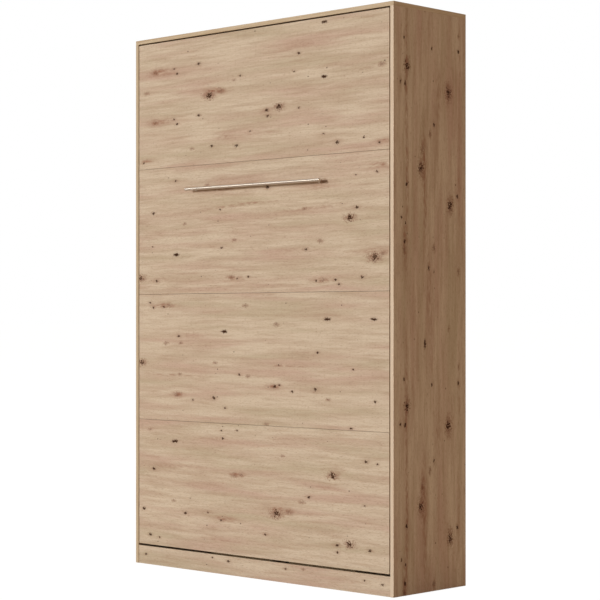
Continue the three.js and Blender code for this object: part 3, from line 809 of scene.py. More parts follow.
class KnotKind(Enum):
    """How a knot looks: the strengths of its core and halo, and how drawn out it is, each 0 to 1."""

    PIN = (0.95, 0.35, 0.2)
    TAILED = (1.0, 0.3, 1.0)
    ROUGH = (1.0, 1.0, 0.2)
    FAINT = (0.25, 0.75, 0.2)


@dataclass(frozen=True)
class Knot:
    """One printed knot: place along and across the grain and radius, in mm."""

    along: float
    across: float
    radius: float
    kind: KnotKind = KnotKind.PIN


@dataclass(frozen=True)
class Stain:
    """One reddish patch drawn out along the grain: centre, half length, half width in mm, and strength.

    A growth line is a narrow patch that climbs by its rise, fast at first and then level.
    """

    along: float
    across: float
    length: float
    width: float
    strength: float = 0.75
    rise: float = 0.0


PIN, TAILED, ROUGH, FAINT = KnotKind

# Where the decor's knots fall on the front, across the width and up the height. Each row is one board.
FRONT_KNOTS = {
    "front_panel_4": [
        (-468, 2014, 5), (-450, 1994, 5.5), (-323, 2021, 7), (228, 2008, 6), (-87, 1953, 5),
        (-122, 1938, 4, FAINT), (360, 2112, 7, TAILED), (360, 1908, 7, TAILED), (-635, 1928, 6, FAINT),
        (-262, 1890, 13, ROUGH), (-195, 1903, 8, FAINT), (205, 1942, 4.5), (645, 1928, 7, FAINT),
        (-468, 1810, 5), (-450, 1790, 5.5), (-323, 1816, 7), (58, 1807, 8), (62, 1784, 5.5),
        (123, 1815, 11, ROUGH), (228, 1802, 5), (-33, 1732, 5), (-248, 1689, 6), (-107, 1681, 7.5),
        (-362, 1685, 5, FAINT), (-652, 1645, 5), (425, 1658, 8), (355, 1695, 4), (557, 1668, 4.5),
        (632, 1644, 5.5), (-580, 2008, 7, FAINT), (-580, 1803, 7, FAINT),
    ],
    "front_panel_3": [
        (-458, 1561, 5), (-275, 1535, 5, FAINT), (620, 1540, 5), (517, 1534, 4), (62, 1510, 7.5),
        (355, 1518, 7, FAINT), (-592, 1436, 7.5), (-200, 1435, 4), (522, 1414, 7), (488, 1377, 11, ROUGH),
        (-405, 1386, 4, FAINT), (258, 1420, 4.5, FAINT), (-120, 1313, 5, FAINT), (-597, 1299, 4),
        (-192, 1284, 6), (-455, 1264, 8, TAILED), (265, 1267, 6.5), (340, 1295, 6, FAINT),
        (610, 1228, 13, ROUGH), (648, 1242, 7, FAINT), (-669, 1172, 11, ROUGH), (-572, 1160, 7),
        (-105, 1163, 5), (-135, 1168, 7, FAINT), (-42, 1168, 5), (318, 1147, 5), (352, 1148, 6, FAINT),
        (417, 1150, 5.5), (435, 1132, 5.5), (548, 1157, 7),
    ],
    "front_panel_2": [
        (-612, 1071, 6), (-592, 1051, 5.5), (-530, 1054, 6), (-500, 1060, 7, FAINT), (-60, 1056, 6, FAINT),
        (375, 1003, 7.5, TAILED), (605, 1003, 7.5, TAILED), (110, 982, 6, FAINT), (-178, 955, 8, TAILED),
        (-440, 935, 6.5), (-428, 908, 4, FAINT), (-515, 907, 6, FAINT), (325, 878, 5.5),
        (-662, 825, 11, ROUGH), (-228, 831, 5, FAINT), (122, 828, 4), (505, 818, 4), (-432, 782, 4.5, FAINT),
        (-92, 787, 5.5), (-45, 782, 5, FAINT), (100, 745, 8), (125, 752, 5), (193, 728, 5.5), (315, 740, 7.5),
        (-450, 700, 9, FAINT), (-235, 692, 8), (-357, 681, 5), (-172, 655, 5.5), (380, 703, 5, FAINT),
        (612, 703, 5.5), (55, 599, 6, FAINT), (493, 600, 6),
    ],
    "front_panel_1": [
        (-612, 553, 4.5, FAINT), (-105, 569, 5), (-193, 565, 4), (-185, 535, 6), (-463, 511, 8, TAILED),
        (142, 482, 4.5, FAINT), (567, 482, 7), (622, 476, 4.5), (-590, 394, 7.5), (-120, 392, 8, FAINT),
        (-82, 397, 6, FAINT), (402, 421, 11, ROUGH), (280, 335, 6), (243, 312, 6, FAINT), (560, 321, 5),
        (112, 259, 13, ROUGH), (175, 270, 8, FAINT), (-470, 270, 5, FAINT), (-650, 226, 8), (-400, 226, 7.5),
        (-270, 238, 4.5), (-195, 212, 5), (50, 176, 6), (425, 165, 7.5), (425, 140, 6), (487, 175, 11, ROUGH),
        (587, 160, 6.5), (-610, 123, 7), (-555, 116, 4),
    ],
    "plinth_panel": [
        (-640, 40, 5.5), (-155, 54, 6), (-245, 60, 4), (157, 54, 5.5), (558, 48, 4), (645, 41, 5.5),
        (250, 60, 4, FAINT),
    ],
}

FRONT_STAINS = {
    "front_panel_4": [
        (-560, 2010, 60, 14), (-560, 1806, 60, 14), (-500, 1996, 120, 6, 0.35), (-230, 1905, 75, 12),
        (-175, 1725, 36, 12, 0.7), (240, 2035, 120, 14, 0.25), (240, 1825, 120, 14, 0.25),
        (-630, 1652, 50, 9), (660, 1652, 45, 9), (20, 1720, 160, 7, 0.3), (560, 1925, 90, 12, 0.3),
        (60, 1806, 40, 16, 0.35),
    ],
    "front_panel_3": [
        (-190, 1514, 70, 7), (650, 1565, 60, 12), (330, 1500, 60, 10, 0.4), (-130, 1455, 215, 5.5, 0.6, 38),
        (-20, 1453, 70, 5, 0.35), (310, 1430, 190, 5.5, 0.55, 36), (500, 1408, 70, 6, 0.3),
        (600, 1250, 90, 9, 0.45), (-130, 1166, 55, 10), (345, 1148, 55, 9), (180, 1265, 90, 10, 0.3),
        (-560, 1165, 80, 9, 0.3),
    ],
    "front_panel_2": [
        (-530, 1060, 90, 12), (-380, 940, 80, 14, 0.35), (60, 1100, 90, 6, 0.4), (95, 747, 45, 9),
        (-450, 700, 45, 9), (-470, 776, 190, 5.5, 0.5, -10), (170, 824, 140, 5, 0.6),
        (330, 1015, 200, 8, 0.2), (240, 870, 120, 14, 0.2),
    ],
    "front_panel_1": [
        (-230, 535, 80, 12, 0.3), (-470, 412, 190, 8, 0.35), (-105, 396, 50, 10), (130, 280, 70, 10, 0.5),
        (-170, 220, 60, 10), (-180, 133, 120, 4, 0.5), (150, 175, 110, 8, 0.3), (430, 440, 30, 20, 0.4),
        (340, 375, 120, 8, 0.25),
    ],
    "plinth_panel": [(-510, 38, 45, 6, 0.4), (495, 38, 45, 6, 0.4)],
}

# The side decor repeats up the board. Places are from the front edge, and up from the repeat's foot.
SIDE_REPEAT_MM = 1240
SIDE_KNOTS = [
    (58, 785, 5.5), (74, 685, 12, ROUGH), (38, 623, 6), (64, 619, 8), (215, 761, 5.5), (371, 765, 7),
    (372, 823, 4.5, FAINT), (312, 606, 14, ROUGH), (228, 481, 6), (205, 445, 6, FAINT), (162, 385, 9, FAINT),
    (154, 317, 13, ROUGH), (73, 252, 7.5), (366, 223, 7.5), (323, 188, 13, ROUGH), (44, 132, 5.5),
    (66, 112, 5), (62, 45, 7), (60, 14, 8, FAINT), (228, 25, 7, FAINT), (198, -49, 7), (228, -62, 4),
    (372, -60, 6, FAINT), (176, 912, 8, TAILED), (315, 968, 4.5, FAINT),
]
SIDE_STAINS = [
    (165, 370, 70, 14, 0.5), (180, 230, 120, 12, 0.4), (200, -110, 120, 14, 0.45), (62, 40, 60, 14),
    (260, 590, 60, 20, 0.3), (340, 600, 60, 14, 0.3), (72, 760, 130, 9, 0.5), (70, 560, 120, 8, 0.35),
    (75, 230, 120, 9, 0.5), (76, 320, 90, 6, 0.4), (245, 560, 140, 16, 0.25), (172, 150, 160, 9, 0.3),
    (378, 760, 120, 8, 0.4), (376, 250, 150, 8, 0.4), (215, 900, 120, 10, 0.25), (120, 640, 160, 8, 0.2),
    (300, 120, 160, 10, 0.2),
]


class Axis(Enum):
    """A row axis by its number."""

    X = 0
    Y = 1
    Z = 2


@dataclass
class Board:
    """One melamine-faced board: decor on two faces, edge band round it, a raw rear edge if raw_rear is set.

    The decor's coordinate runs along the grain, across it and through the board, so a streak
    is the same material on every board; seed moves each board to its own stretch of the print.
    """

    node: str
    body: str
    grain: Axis
    thickness: Axis
    seed: int
    knots: tuple = ()
    stains: tuple = ()
    raw_rear: bool = False
    band: Finish = Finish.BAND
    cell_mm: tuple[float, float] = (24.0, 4.6)  # along and across the grain
    edge_mm: float = 0.45
    knots_per_m2: float = 42.0

    def axes(self) -> tuple[int, int, int]:
        """The row axes along the grain, across it and through the board."""
        along, through = self.grain.value, self.thickness.value
        return along, 3 - along - through, through

    def scattered_knots(self, low: np.ndarray, high: np.ndarray) -> tuple[list[Knot], list[Stain]]:
        """Knots and stains strewn evenly at random, for a board whose own are not listed."""
        along, across, _ = self.axes()
        random = np.random.default_rng(self.seed)
        span = (high - low) / MM
        count = int(self.knots_per_m2 * span[along] * span[across] * 1e-6)
        place = low[[along, across]] / MM + random.random((count, 2)) * span[[along, across]]
        radius = 4 + 9 * random.random(count) ** 3
        kinds = random.choice([0, 0, 0, 1, 3, 3], count)
        knots = [
            Knot(
                a, c, r, ROUGH if r > 9.5 else list(KnotKind)[k]
            ) for (a, c), r, k in zip(place, radius, kinds)
        ]
        stains = [
            Stain(a, c, 40 + 90 * random.random(), 6 + 10 * random.random(), 0.4)
            for a, c in place[::3]
        ]
        return knots, stains

    def print_attributes(self, mesh: bpy.types.Mesh, low: np.ndarray, high: np.ndarray) -> None:
        """Writes the decor's coordinates to the mesh.

        grain is the coordinate along, across and through the board. knot is the offset from the
        nearest knot with its radius, the same knot for a whole face. stain is the sum of bell
        curves exp(-(a/length)^2 - (c/width)^2) over the stains, where c is measured from a line
        that climbs as the 0.35th power of the way along.

        Args:
            mesh: The board's mesh.
            low: The board's lowest corner.
            high: Its highest corner.
        """
        along, across, through = self.axes()
        points = np.zeros(len(mesh.vertices) * 3)
        mesh.vertices.foreach_get("co", points)
        corner = np.zeros(len(mesh.loops), int)
        mesh.loops.foreach_get("vertex_index", corner)
        faces = len(mesh.polygons)
        at = points.reshape(-1, 3)[corner]
        middle = at.reshape(faces, 4, 3).mean(axis=1)
        spread = np.ptp(at.reshape(faces, 4, 3), axis=1)
        normal_axis = spread.argmin(axis=1)

        drift = np.random.default_rng(self.seed).random(3) * [40.0, 20.0, 5.0]
        end_grain = np.repeat(normal_axis == along, 4)
        first = np.where(end_grain, at[:, across], at[:, along])
        second = np.where(end_grain, at[:, along], at[:, across])
        grain = np.stack([first, second, at[:, through]], axis=-1) + drift

        knots = [Knot(*row) for row in self.knots]
        stains = [Stain(*row) for row in self.stains]
        if not knots:
            knots, stains = self.scattered_knots(low, high)
        centre = np.array([[k.along, k.across] for k in knots]) * MM
        radius = np.array([k.radius for k in knots]) * MM
        looks = np.array([k.kind.value for k in knots])
        away = middle[:, None, [along, across]] - centre[None]
        reach = np.hypot(away[..., 0] * 0.45, away[..., 1]) / radius[None]
        nearest = np.repeat(reach.argmin(axis=1), 4)
        knot = np.concatenate([at[:, [along, across]] - centre[nearest], radius[nearest, None]], axis=1)

        stain = np.zeros(len(at))
        for s in stains:
            lengthwise = (at[:, along] / MM - s.along) / s.length
            climb = s.rise * (np.clip((lengthwise + 1.1) / 2.2, 0.0, 1.0) ** 0.35 - 1.0)
            sideways = (at[:, across] / MM - s.across - climb) / s.width
            stain += s.strength * np.exp(-(lengthwise**2) - sideways**2)

        for name, kind, values in (
            ("grain", "FLOAT_VECTOR", grain),
            ("knot", "FLOAT_VECTOR", knot),
            ("knot_look", "FLOAT_VECTOR", looks[nearest]),
            ("stain", "FLOAT", np.minimum(stain, 1.0)),
        ):
            attribute = mesh.attributes.new(name, kind, "CORNER")
            field = "vector" if kind == "FLOAT_VECTOR" else "value"
            attribute.data.foreach_set(field, values.astype(np.float32).ravel())

        index = np.where(normal_axis == through, 0, 1)
        if self.raw_rear:
            index[(normal_axis == Axis.Y.value) & (middle[:, 1] > high[1] - 0.001)] = 2
        mesh.polygons.foreach_set("material_index", index.astype(np.int32))

    def build(self) -> bpy.types.Object:
        """Builds the board as a lattice box with the decor's attributes and a small edge radius."""
        low, high = (np.array(corner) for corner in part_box(self.node))
        along, across, through = self.axes()
        step = np.ones(3)
        step[along], step[across] = self.cell_mm[0] * MM, self.cell_mm[1] * MM
        points, faces = lattice_box(low, high, step)
        finishes = [Finish.OAK, self.band] + ([Finish.CHIPBOARD] if self.raw_rear else [])
        piece = make_object(f"{self.node}_board", points, faces, finishes)
        self.print_attributes(piece.data, low, high)
        bevelled(piece, self.edge_mm)
        return declare(piece, self.body, "oak_board", self.node)


@dataclass
class Carcass:
    """The fixed cabinet: side, top, plinth and rear boards, the notched base rail, caps and angles."""

    cap_radius_mm: float = 8.5
    cap_height_mm: float = 1.2

    def side_rows(self, rows: list, front_y: float) -> tuple:
        """The side decor's rows for each repeat, turned to (up, from the row's Y) as the grain runs up."""
        found = []
        for repeat in range(2):
            for from_front, up, *rest in rows:
                found.append((up + repeat * SIDE_REPEAT_MM, front_y / MM + from_front, *rest))
        return tuple(found)

    def boards(self) -> None:
        """Builds every board of the cabinet."""
        front_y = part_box("right_side_panel")[0].y
        knots = self.side_rows(SIDE_KNOTS, front_y)
        stains = self.side_rows([(a, c, 1.6 * l, w, *s) for a, c, l, w, *s in SIDE_STAINS], front_y)
        # The right side's front edge takes the paler band copy: a painted highlight.
        listed = Board(
            "right_side_panel", "cabinet", Axis.Z, Axis.X, 11, knots, stains, True, Finish.PALE_BAND
        )
        boards = [
            listed,
            Board("left_side_panel", "cabinet", Axis.Z, Axis.X, 12, raw_rear=True),
            Board("top_panel", "cabinet", Axis.X, Axis.Z, 13, raw_rear=True),
            Board("plinth_panel", "cabinet", Axis.X, Axis.Y, 14,
                  tuple(FRONT_KNOTS["plinth_panel"]), tuple(FRONT_STAINS["plinth_panel"])),
            Board("rear_bottom_rail", "cabinet", Axis.X, Axis.Y, 15),
            Board("headboard_panel", "cabinet", Axis.X, Axis.Y, 16),
            Board("rear_top_rail", "cabinet", Axis.X, Axis.Y, 17),
        ]
        for board in boards:
            board.build()

    def base_rail(self) -> None:
        """The notched rail behind the plinth: a raw-edged offcut, so it takes the board's core finish."""
        rail = refined_copy("base_rail", "base_rail_board", Finish.CHIPBOARD, 0.5)
        declare(rail, "cabinet", "oak_board", "base_rail")

    def cap_places(self) -> list[tuple[Vector, Vector]]:
        """Each connector cap's centre on its board face, and the way it faces."""
        low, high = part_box("rear_top_rail")
        bottom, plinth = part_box("rear_bottom_rail"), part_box("plinth_panel")
        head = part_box("headboard_panel")
        places = []
        for side in (low.x + 0.034, high.x - 0.034):
            for z in (low.z + 0.03, high.z - 0.03):
                places.append((Vector((side, low.y, z)), Vector((0, -1, 0))))
            for z in (bottom[0].z + 0.05, head[0].z + 0.06, head[1].z - 0.06):
                places.append((Vector((side, bottom[0].y, z)), Vector((0, -1, 0))))
            places.append((Vector((side, plinth[1].y, plinth[1].z / 2)), Vector((0, 1, 0))))
        return places

    def caps(self) -> None:
        """Press-in plastic caps over the knock-down connectors: low domes, 17 mm across."""
        radius, height = self.cap_radius_mm, self.cap_height_mm
        hub = radius * 0.2
        profile = [(hub, 0.0), (radius, 0.0), (radius, height * 0.6), (radius * 0.8, height), (hub, height)]
        parts = []
        for centre, facing in self.cap_places():
            points, faces = lathe(profile, sides=32, chamfer_mm=0.2)
            parts.append((aimed(points, centre, facing), faces))
        declare(
            make_object("connector_caps", *merged_surfaces(parts), [Finish.CAP_PLASTIC]), "cabinet", "nylon"
        )

    def brackets(self) -> None:
        """The two steel angles to the wall."""
        for side, _ in SIDES:
            node = f"wall_bracket_{side}"
            declare(refined_copy(node, f"{node}_angle", Finish.ZINC, 0.3), "cabinet", "zinc_steel", node)

    def build(self) -> None:
        """Builds the whole cabinet."""
        self.boards()
        self.base_rail()
        self.caps()
        self.brackets()


# ---------------------------------------------------------------- front and handle


@dataclass
class Front:
    """The four boards that close the cabinet and travel under the bed."""

    def build(self) -> None:
        """Builds each front board with its own knots."""
        for number in range(1, 5):
            node = f"front_panel_{number}"
            Board(
                node, "bed", Axis.X, Axis.Y, 20 + number, tuple(FRONT_KNOTS[node]), tuple(FRONT_STAINS[node])
            ).build()


@dataclass
class Handle:
    """A round bar handle: a solid bar with eased ends on two turned posts with a small foot."""

    end_ease_mm: float = 0.8
    foot_radius_mm: float = 6.5
    foot_height_mm: float = 1.6

    def bar(self) -> None:
        """The bar: a circle carried along X, chamfered at both ends."""
        low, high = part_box("handle_bar")
        radius = (high.z - low.z) / 2 / MM
        half = (high.x - low.x) / 2 / MM
        points, faces = lathe(pin_profile((radius, -half, half)), sides=72, chamfer_mm=self.end_ease_mm)
        centre = (low + high) / 2
        bar = make_object(
            "handle_bar_round", aimed(points, centre, Vector((1, 0, 0))), faces, [Finish.SATIN_NICKEL]
        )
        declare(bar, "bed", "satin_nickel", "handle_bar")

    def posts(self) -> None:
        """The posts: a foot on the board, then a straight shank into the bar."""
        bar_low, bar_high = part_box("handle_bar")
        reach = -(bar_low.y + bar_high.y) / 2
        for side, _ in SIDES:
            node = f"handle_post_{side}"
            low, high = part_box(node)
            radius = (high.x - low.x) / 2 / MM
            length = (high.y + reach) / MM - 2
            foot = (self.foot_radius_mm, 0.0, self.foot_height_mm)
            profile = pin_profile(foot, (radius, self.foot_height_mm, length))
            points, faces = lathe(profile, sides=40, chamfer_mm=0.5)
            centre = Vector(((low.x + high.x) / 2, high.y, (low.z + high.z) / 2))
            points = aimed(points, centre, Vector((0, -1, 0)))
            post = make_object(f"{node}_turned", points, faces, [Finish.SATIN_NICKEL])
            declare(post, "bed", "satin_nickel", node)

    def build(self) -> None:
        """Builds the bar and its posts."""
        self.bar()
        self.posts()


# ---------------------------------------------------------------- bed frame


@dataclass
class SteelFrame:
    """The folding frame of rectangular steel tube, with end plugs and the screws into the front."""

    wall_mm: float = 2.0
    corner_mm: float = 3.0
    plug_mm: float = 2.4

    def tube(self, node: str, axis: Axis) -> None:
        """One tube: a rounded outline carried along its axis outside, and back along its bore."""
        low, high = (np.array(corner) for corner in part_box(node))
        u, v = (a for a in range(3) if a != axis.value)
        size = high - low
        wall = self.wall_mm * MM
        outer = rounded_outline(size[u], size[v], self.corner_mm * MM)
        inner = rounded_outline(size[u] - 2 * wall, size[v] - 2 * wall, (self.corner_mm - 1.6) * MM)
        rings = np.zeros((4, len(outer), 3))
        rings[:, :, [u, v]] = np.stack([outer, outer, inner, inner])
        rings[:, :, axis.value] = (np.array([-0.5, 0.5, 0.5, -0.5]) * size[axis.value])[:, None]
        points, faces = loft(rings + (low + high) / 2, closed_path=True)
        piece = make_object(f"{node}_tube", points, faces, [Finish.POWDER_COAT], sharp_degrees=50)
        declare(piece, "bed", "frame_steel", node)

    def end_plugs(self) -> None:
        """Plain plastic plugs in the side rails' four ends: a rounded cap on the wall, a stub in the bore."""
        parts = []
        for side, _ in SIDES:
            low, high = (np.array(corner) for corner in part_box(f"frame_side_rail_{side}"))
            width, depth = (high - low)[:2]
            for end_z, way in ((high[2], 1), (low[2], -1)):
                scale = np.array([0.84, 0.84, 1.0, 1.0, 0.94])
                height = np.array([-12.0, -0.05, -0.05, self.plug_mm * 0.6, self.plug_mm]) * MM * way
                outline = rounded_outline(width, depth, self.corner_mm * MM)
                rings = np.zeros((5, len(outline), 3))
                rings[:, :, :2] = outline[None] * scale[:, None, None]
                rings[:, :, 2] = height[:, None]
                rings += [(low[0] + high[0]) / 2, (low[1] + high[1]) / 2, end_z]
                parts.append(loft(rings))
        declare(make_object("frame_end_plugs", *merged_surfaces(parts), [Finish.NYLON]), "bed", "nylon")

    def screws(self) -> None:
        """Pan-head screws through the tubes into the front boards: low domes with a round socket."""
        parts = []
        profile = [(1.2, 0.9), (2.3, 1.0), (2.5, 2.4), (3.4, 2.3), (5.2, 1.2), (5.6, 0.0), (1.2, 0.0)]
        for number in (1, 2):
            low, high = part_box(f"frame_cross_rail_{number}")
            for x in np.linspace(low.x + 0.06, high.x - 0.06, 5):
                points, faces = lathe(profile, sides=24, chamfer_mm=0.15, hollow=True)
                centre = Vector((x, high.y, (low.z + high.z) / 2))
                parts.append((aimed(points, centre, Vector((0, 1, 0))), faces))
        declare(make_object("frame_screws", *merged_surfaces(parts), [Finish.ZINC]), "bed", "zinc_steel")

    def build(self) -> None:
        """Builds every tube, the plugs and the screws."""
        for side, _ in SIDES:
            self.tube(f"frame_side_rail_{side}", Axis.Z)
        for node in ("frame_head_rail", "frame_foot_rail", "frame_cross_rail_1", "frame_cross_rail_2"):
            self.tube(node, Axis.X)
        self.end_plugs()
        self.screws()


@dataclass
class SlatBase:
    """Sprung plywood slats in moulded end caps on the side rails."""

    bow_mm: float = 1.6
    ease_mm: float = 2.4
    cap_length_mm: float = 34.0
    cap_wall_mm: float = 2.0
    slats: int = 12

    def slat(self, number: int) -> None:
        """One slat: a rounded section carried along X, its middle bowed up to the mattress by a parabola."""
        node = f"slat_{number:02d}"
        low, high = (np.array(corner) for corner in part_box(node))
        centre, size = (low + high) / 2, high - low
        outline = rounded_outline(size[1], size[2], self.ease_mm * MM, corner_points=4)
        along = np.linspace(-0.5, 0.5, 33)
        rings = np.zeros((len(along), len(outline), 3))
        rings[:, :, 0] = (along * size[0])[:, None]
        rings[:, :, 1] = outline[:, 0] + (self.bow_mm * MM * (1 - 4 * along**2))[:, None]
        rings[:, :, 2] = outline[:, 1]
        piece = make_object(f"{node}_plywood", *loft(rings + centre), [Finish.BIRCH], sharp_degrees=50)
        declare(piece, "bed", "birch_slat", node)

    def end_caps(self) -> None:
        """The slats' moulded holders, all of one side in one piece each."""
        for side, sign in SIDES:
            parts = []
            for number in range(1, self.slats + 1):
                low, high = (np.array(corner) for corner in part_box(f"slat_{number:02d}"))
                wall = self.cap_wall_mm * MM
                end = high[0] if sign > 0 else low[0]
                inner = end - sign * self.cap_length_mm * MM
                outline = rounded_outline(
                    high[1] - low[1] + wall, high[2] - low[2] + 2 * wall, 3 * MM, corner_points=4
                )
                rings = np.zeros((4, len(outline), 3))
                lip = sign * wall
                rings[:, :, 0] = np.array([inner, inner + lip, end + lip * 0.4, end + lip])[:, None]
                rings[:, :, 1:] = outline[None] * np.array([0.97, 1.0, 1.0, 0.95])[:, None, None]
                rings[:, :, 1] += (low[1] + high[1]) / 2 + wall / 2
                rings[:, :, 2] += (low[2] + high[2]) / 2
                parts.append(loft(rings))
            holders = make_object(
                f"slat_holders_{side}", *merged_surfaces(parts), [Finish.NYLON], sharp_degrees=50
            )
            declare(holders, "bed", "nylon")

    def build(self) -> None:
        """Builds the slats and their holders."""
        for number in range(1, self.slats + 1):
            self.slat(number)
        self.end_caps()


# ---------------------------------------------------------------- mattress


@dataclass
class Mattress:
    """A foam mattress in a quilted knit cover with a woven border between two lines of piping.

    The panels are stitched in diamonds: the stitch lines are held and the cloth between them
    swells under pressure, which is simulated and then kept in the mesh.
    """

    cell_mm: float = 14.0
    edge_mm: float = 26.0
    inset_mm: float = 7.0
    swell_mm: float = 7.0
    diamond_cells: int = 10
    piping_mm: float = 4.2
    pressure: float = 4.0
    frames: int = 20

    def rounded_shell(self, low: np.ndarray, high: np.ndarray) -> tuple[np.ndarray, list]:
        """A lattice box with rounded edges.

        Each point is pulled to the nearest point of the box shrunk by the edge radius, then
        pushed back out by that radius along the same line.
        """
        points, faces = lattice_box(low, high, np.full(3, self.cell_mm * MM))
        radius = self.edge_mm * MM
        core = np.clip(points, low + radius, high - radius)
        out = points - core
        return core + radius * out / np.linalg.norm(out, axis=1)[:, None], faces

    def stitched(self, points: np.ndarray, low: np.ndarray, high: np.ndarray) -> np.ndarray:
        """True for the points that the sewing holds: the diamonds' lines on both panels, and the border."""
        cell = (high - low) / np.maximum(1, np.rint((high - low) / (self.cell_mm * MM)))
        column = np.rint((points[:, 0] - low[0]) / cell[0]).astype(int)
        row = np.rint((points[:, 2] - low[2]) / cell[2]).astype(int)
        diamond = ((column + row) % self.diamond_cells == 0) | ((column - row) % self.diamond_cells == 0)
        panel = (points[:, 1] < low[1] + 0.001) | (points[:, 1] > high[1] - 0.001)
        return np.where(panel, diamond, True)

    def swell(self, cover: bpy.types.Object, held: np.ndarray) -> None:
        """Blows the cover up with cloth simulation between the held points, and keeps the result.

        Args:
            cover: The mattress cover.
            held: True for each vertex that may not move.
        """
        group = cover.vertex_groups.new(name="stitches")
        group.add(np.flatnonzero(held).tolist(), 1.0, "REPLACE")
        cloth = cover.modifiers.new("swell", "CLOTH")
        cloth.settings.use_pressure = True
        cloth.settings.uniform_pressure_force = self.pressure
        cloth.settings.vertex_group_mass = "stitches"
        cloth.settings.effector_weights.gravity = 0
        cloth.settings.quality = 4
        cloth.settings.mass = 0.05
        cloth.settings.tension_stiffness = cloth.settings.compression_stiffness = 5.0
        cloth.settings.shrink_min = -0.03
        cloth.collision_settings.use_collision = False
        scene = bpy.context.scene
        for step in range(1, self.frames + 1):
            scene.frame_set(step)
        evaluated = cover.evaluated_get(bpy.context.evaluated_depsgraph_get())
        moved = np.zeros(len(cover.data.vertices) * 3)
        evaluated.data.vertices.foreach_get("co", moved)
        rest = np.zeros_like(moved)
        cover.data.vertices.foreach_get("co", rest)
        travel = (moved - rest).reshape(-1, 3)
        length = np.maximum(np.linalg.norm(travel, axis=1), 1e-9)
        travel *= (np.minimum(length, self.swell_mm * MM) / length)[:, None]
        cover.modifiers.remove(cloth)
        cover.vertex_groups.clear()
        cover.data.vertices.foreach_set("co", rest + travel.ravel())
        cover.data.update()
        scene.frame_set(1)

    def cover(self) -> None:
        """The quilted cover with its border."""
        low, high = (np.array(corner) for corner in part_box("mattress"))
        inset = np.array([2.0, self.inset_mm, 2.0]) * MM
        low, high = low + inset, high - inset
        points, faces = self.rounded_shell(low, high)
        cover = make_object(
            "mattress_cover", points, faces, [Finish.TICKING, Finish.BORDER], sharp_degrees=180
        )
        middle = np.zeros(len(cover.data.polygons) * 3)
        cover.data.polygons.foreach_get("center", middle)
        depth = middle.reshape(-1, 3)[:, 1]
        band = (depth > low[1] + 0.02) & (depth < high[1] - 0.02)
        cover.data.polygons.foreach_set("material_index", band.astype(np.int32))
        self.swell(cover, self.stitched(points, low, high))
        smooth = cover.modifiers.new("smooth_cloth", "SUBSURF")
        smooth.levels = smooth.render_levels = 1
        declare(cover, "bed", "mattress_ticking", "mattress")

    def piping(self) -> None:
        """Two cords of piping round the border: a circle carried round the rounded outline."""
        low, high = (np.array(corner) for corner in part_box("mattress"))
        centre, size = (low + high) / 2, high - low
        outline = rounded_outline(size[0] - 8 * MM, size[2] - 8 * MM, 34 * MM, corner_points=14)
        ahead = np.roll(outline, -1, axis=0) - np.roll(outline, 1, axis=0)
        ahead /= np.linalg.norm(ahead, axis=1)[:, None]
        outward = np.stack([ahead[:, 1], -ahead[:, 0]], axis=-1)
        angle = np.linspace(0, 2 * np.pi, 12, endpoint=False)
        for name, y in (("sleeping_side", high[1] - 22 * MM), ("slat_side", low[1] + 22 * MM)):
            radius = self.piping_mm * MM
            rings = np.zeros((len(outline), len(angle), 3))
            rings[:, :, [0, 2]] = outline[:, None] + radius * np.cos(angle)[None, :, None] * outward[:, None]
            rings[:, :, 1] = radius * np.sin(angle)
            rings += [centre[0], y, centre[2]]
            tube = loft(rings, closed_path=True)
            cord = make_object(f"mattress_piping_{name}", *tube, [Finish.PIPING], sharp_degrees=180)
            declare(cord, "bed", "mattress_ticking")

    def build(self) -> None:
        """Builds the cover and its piping."""
        self.cover()
        self.piping()


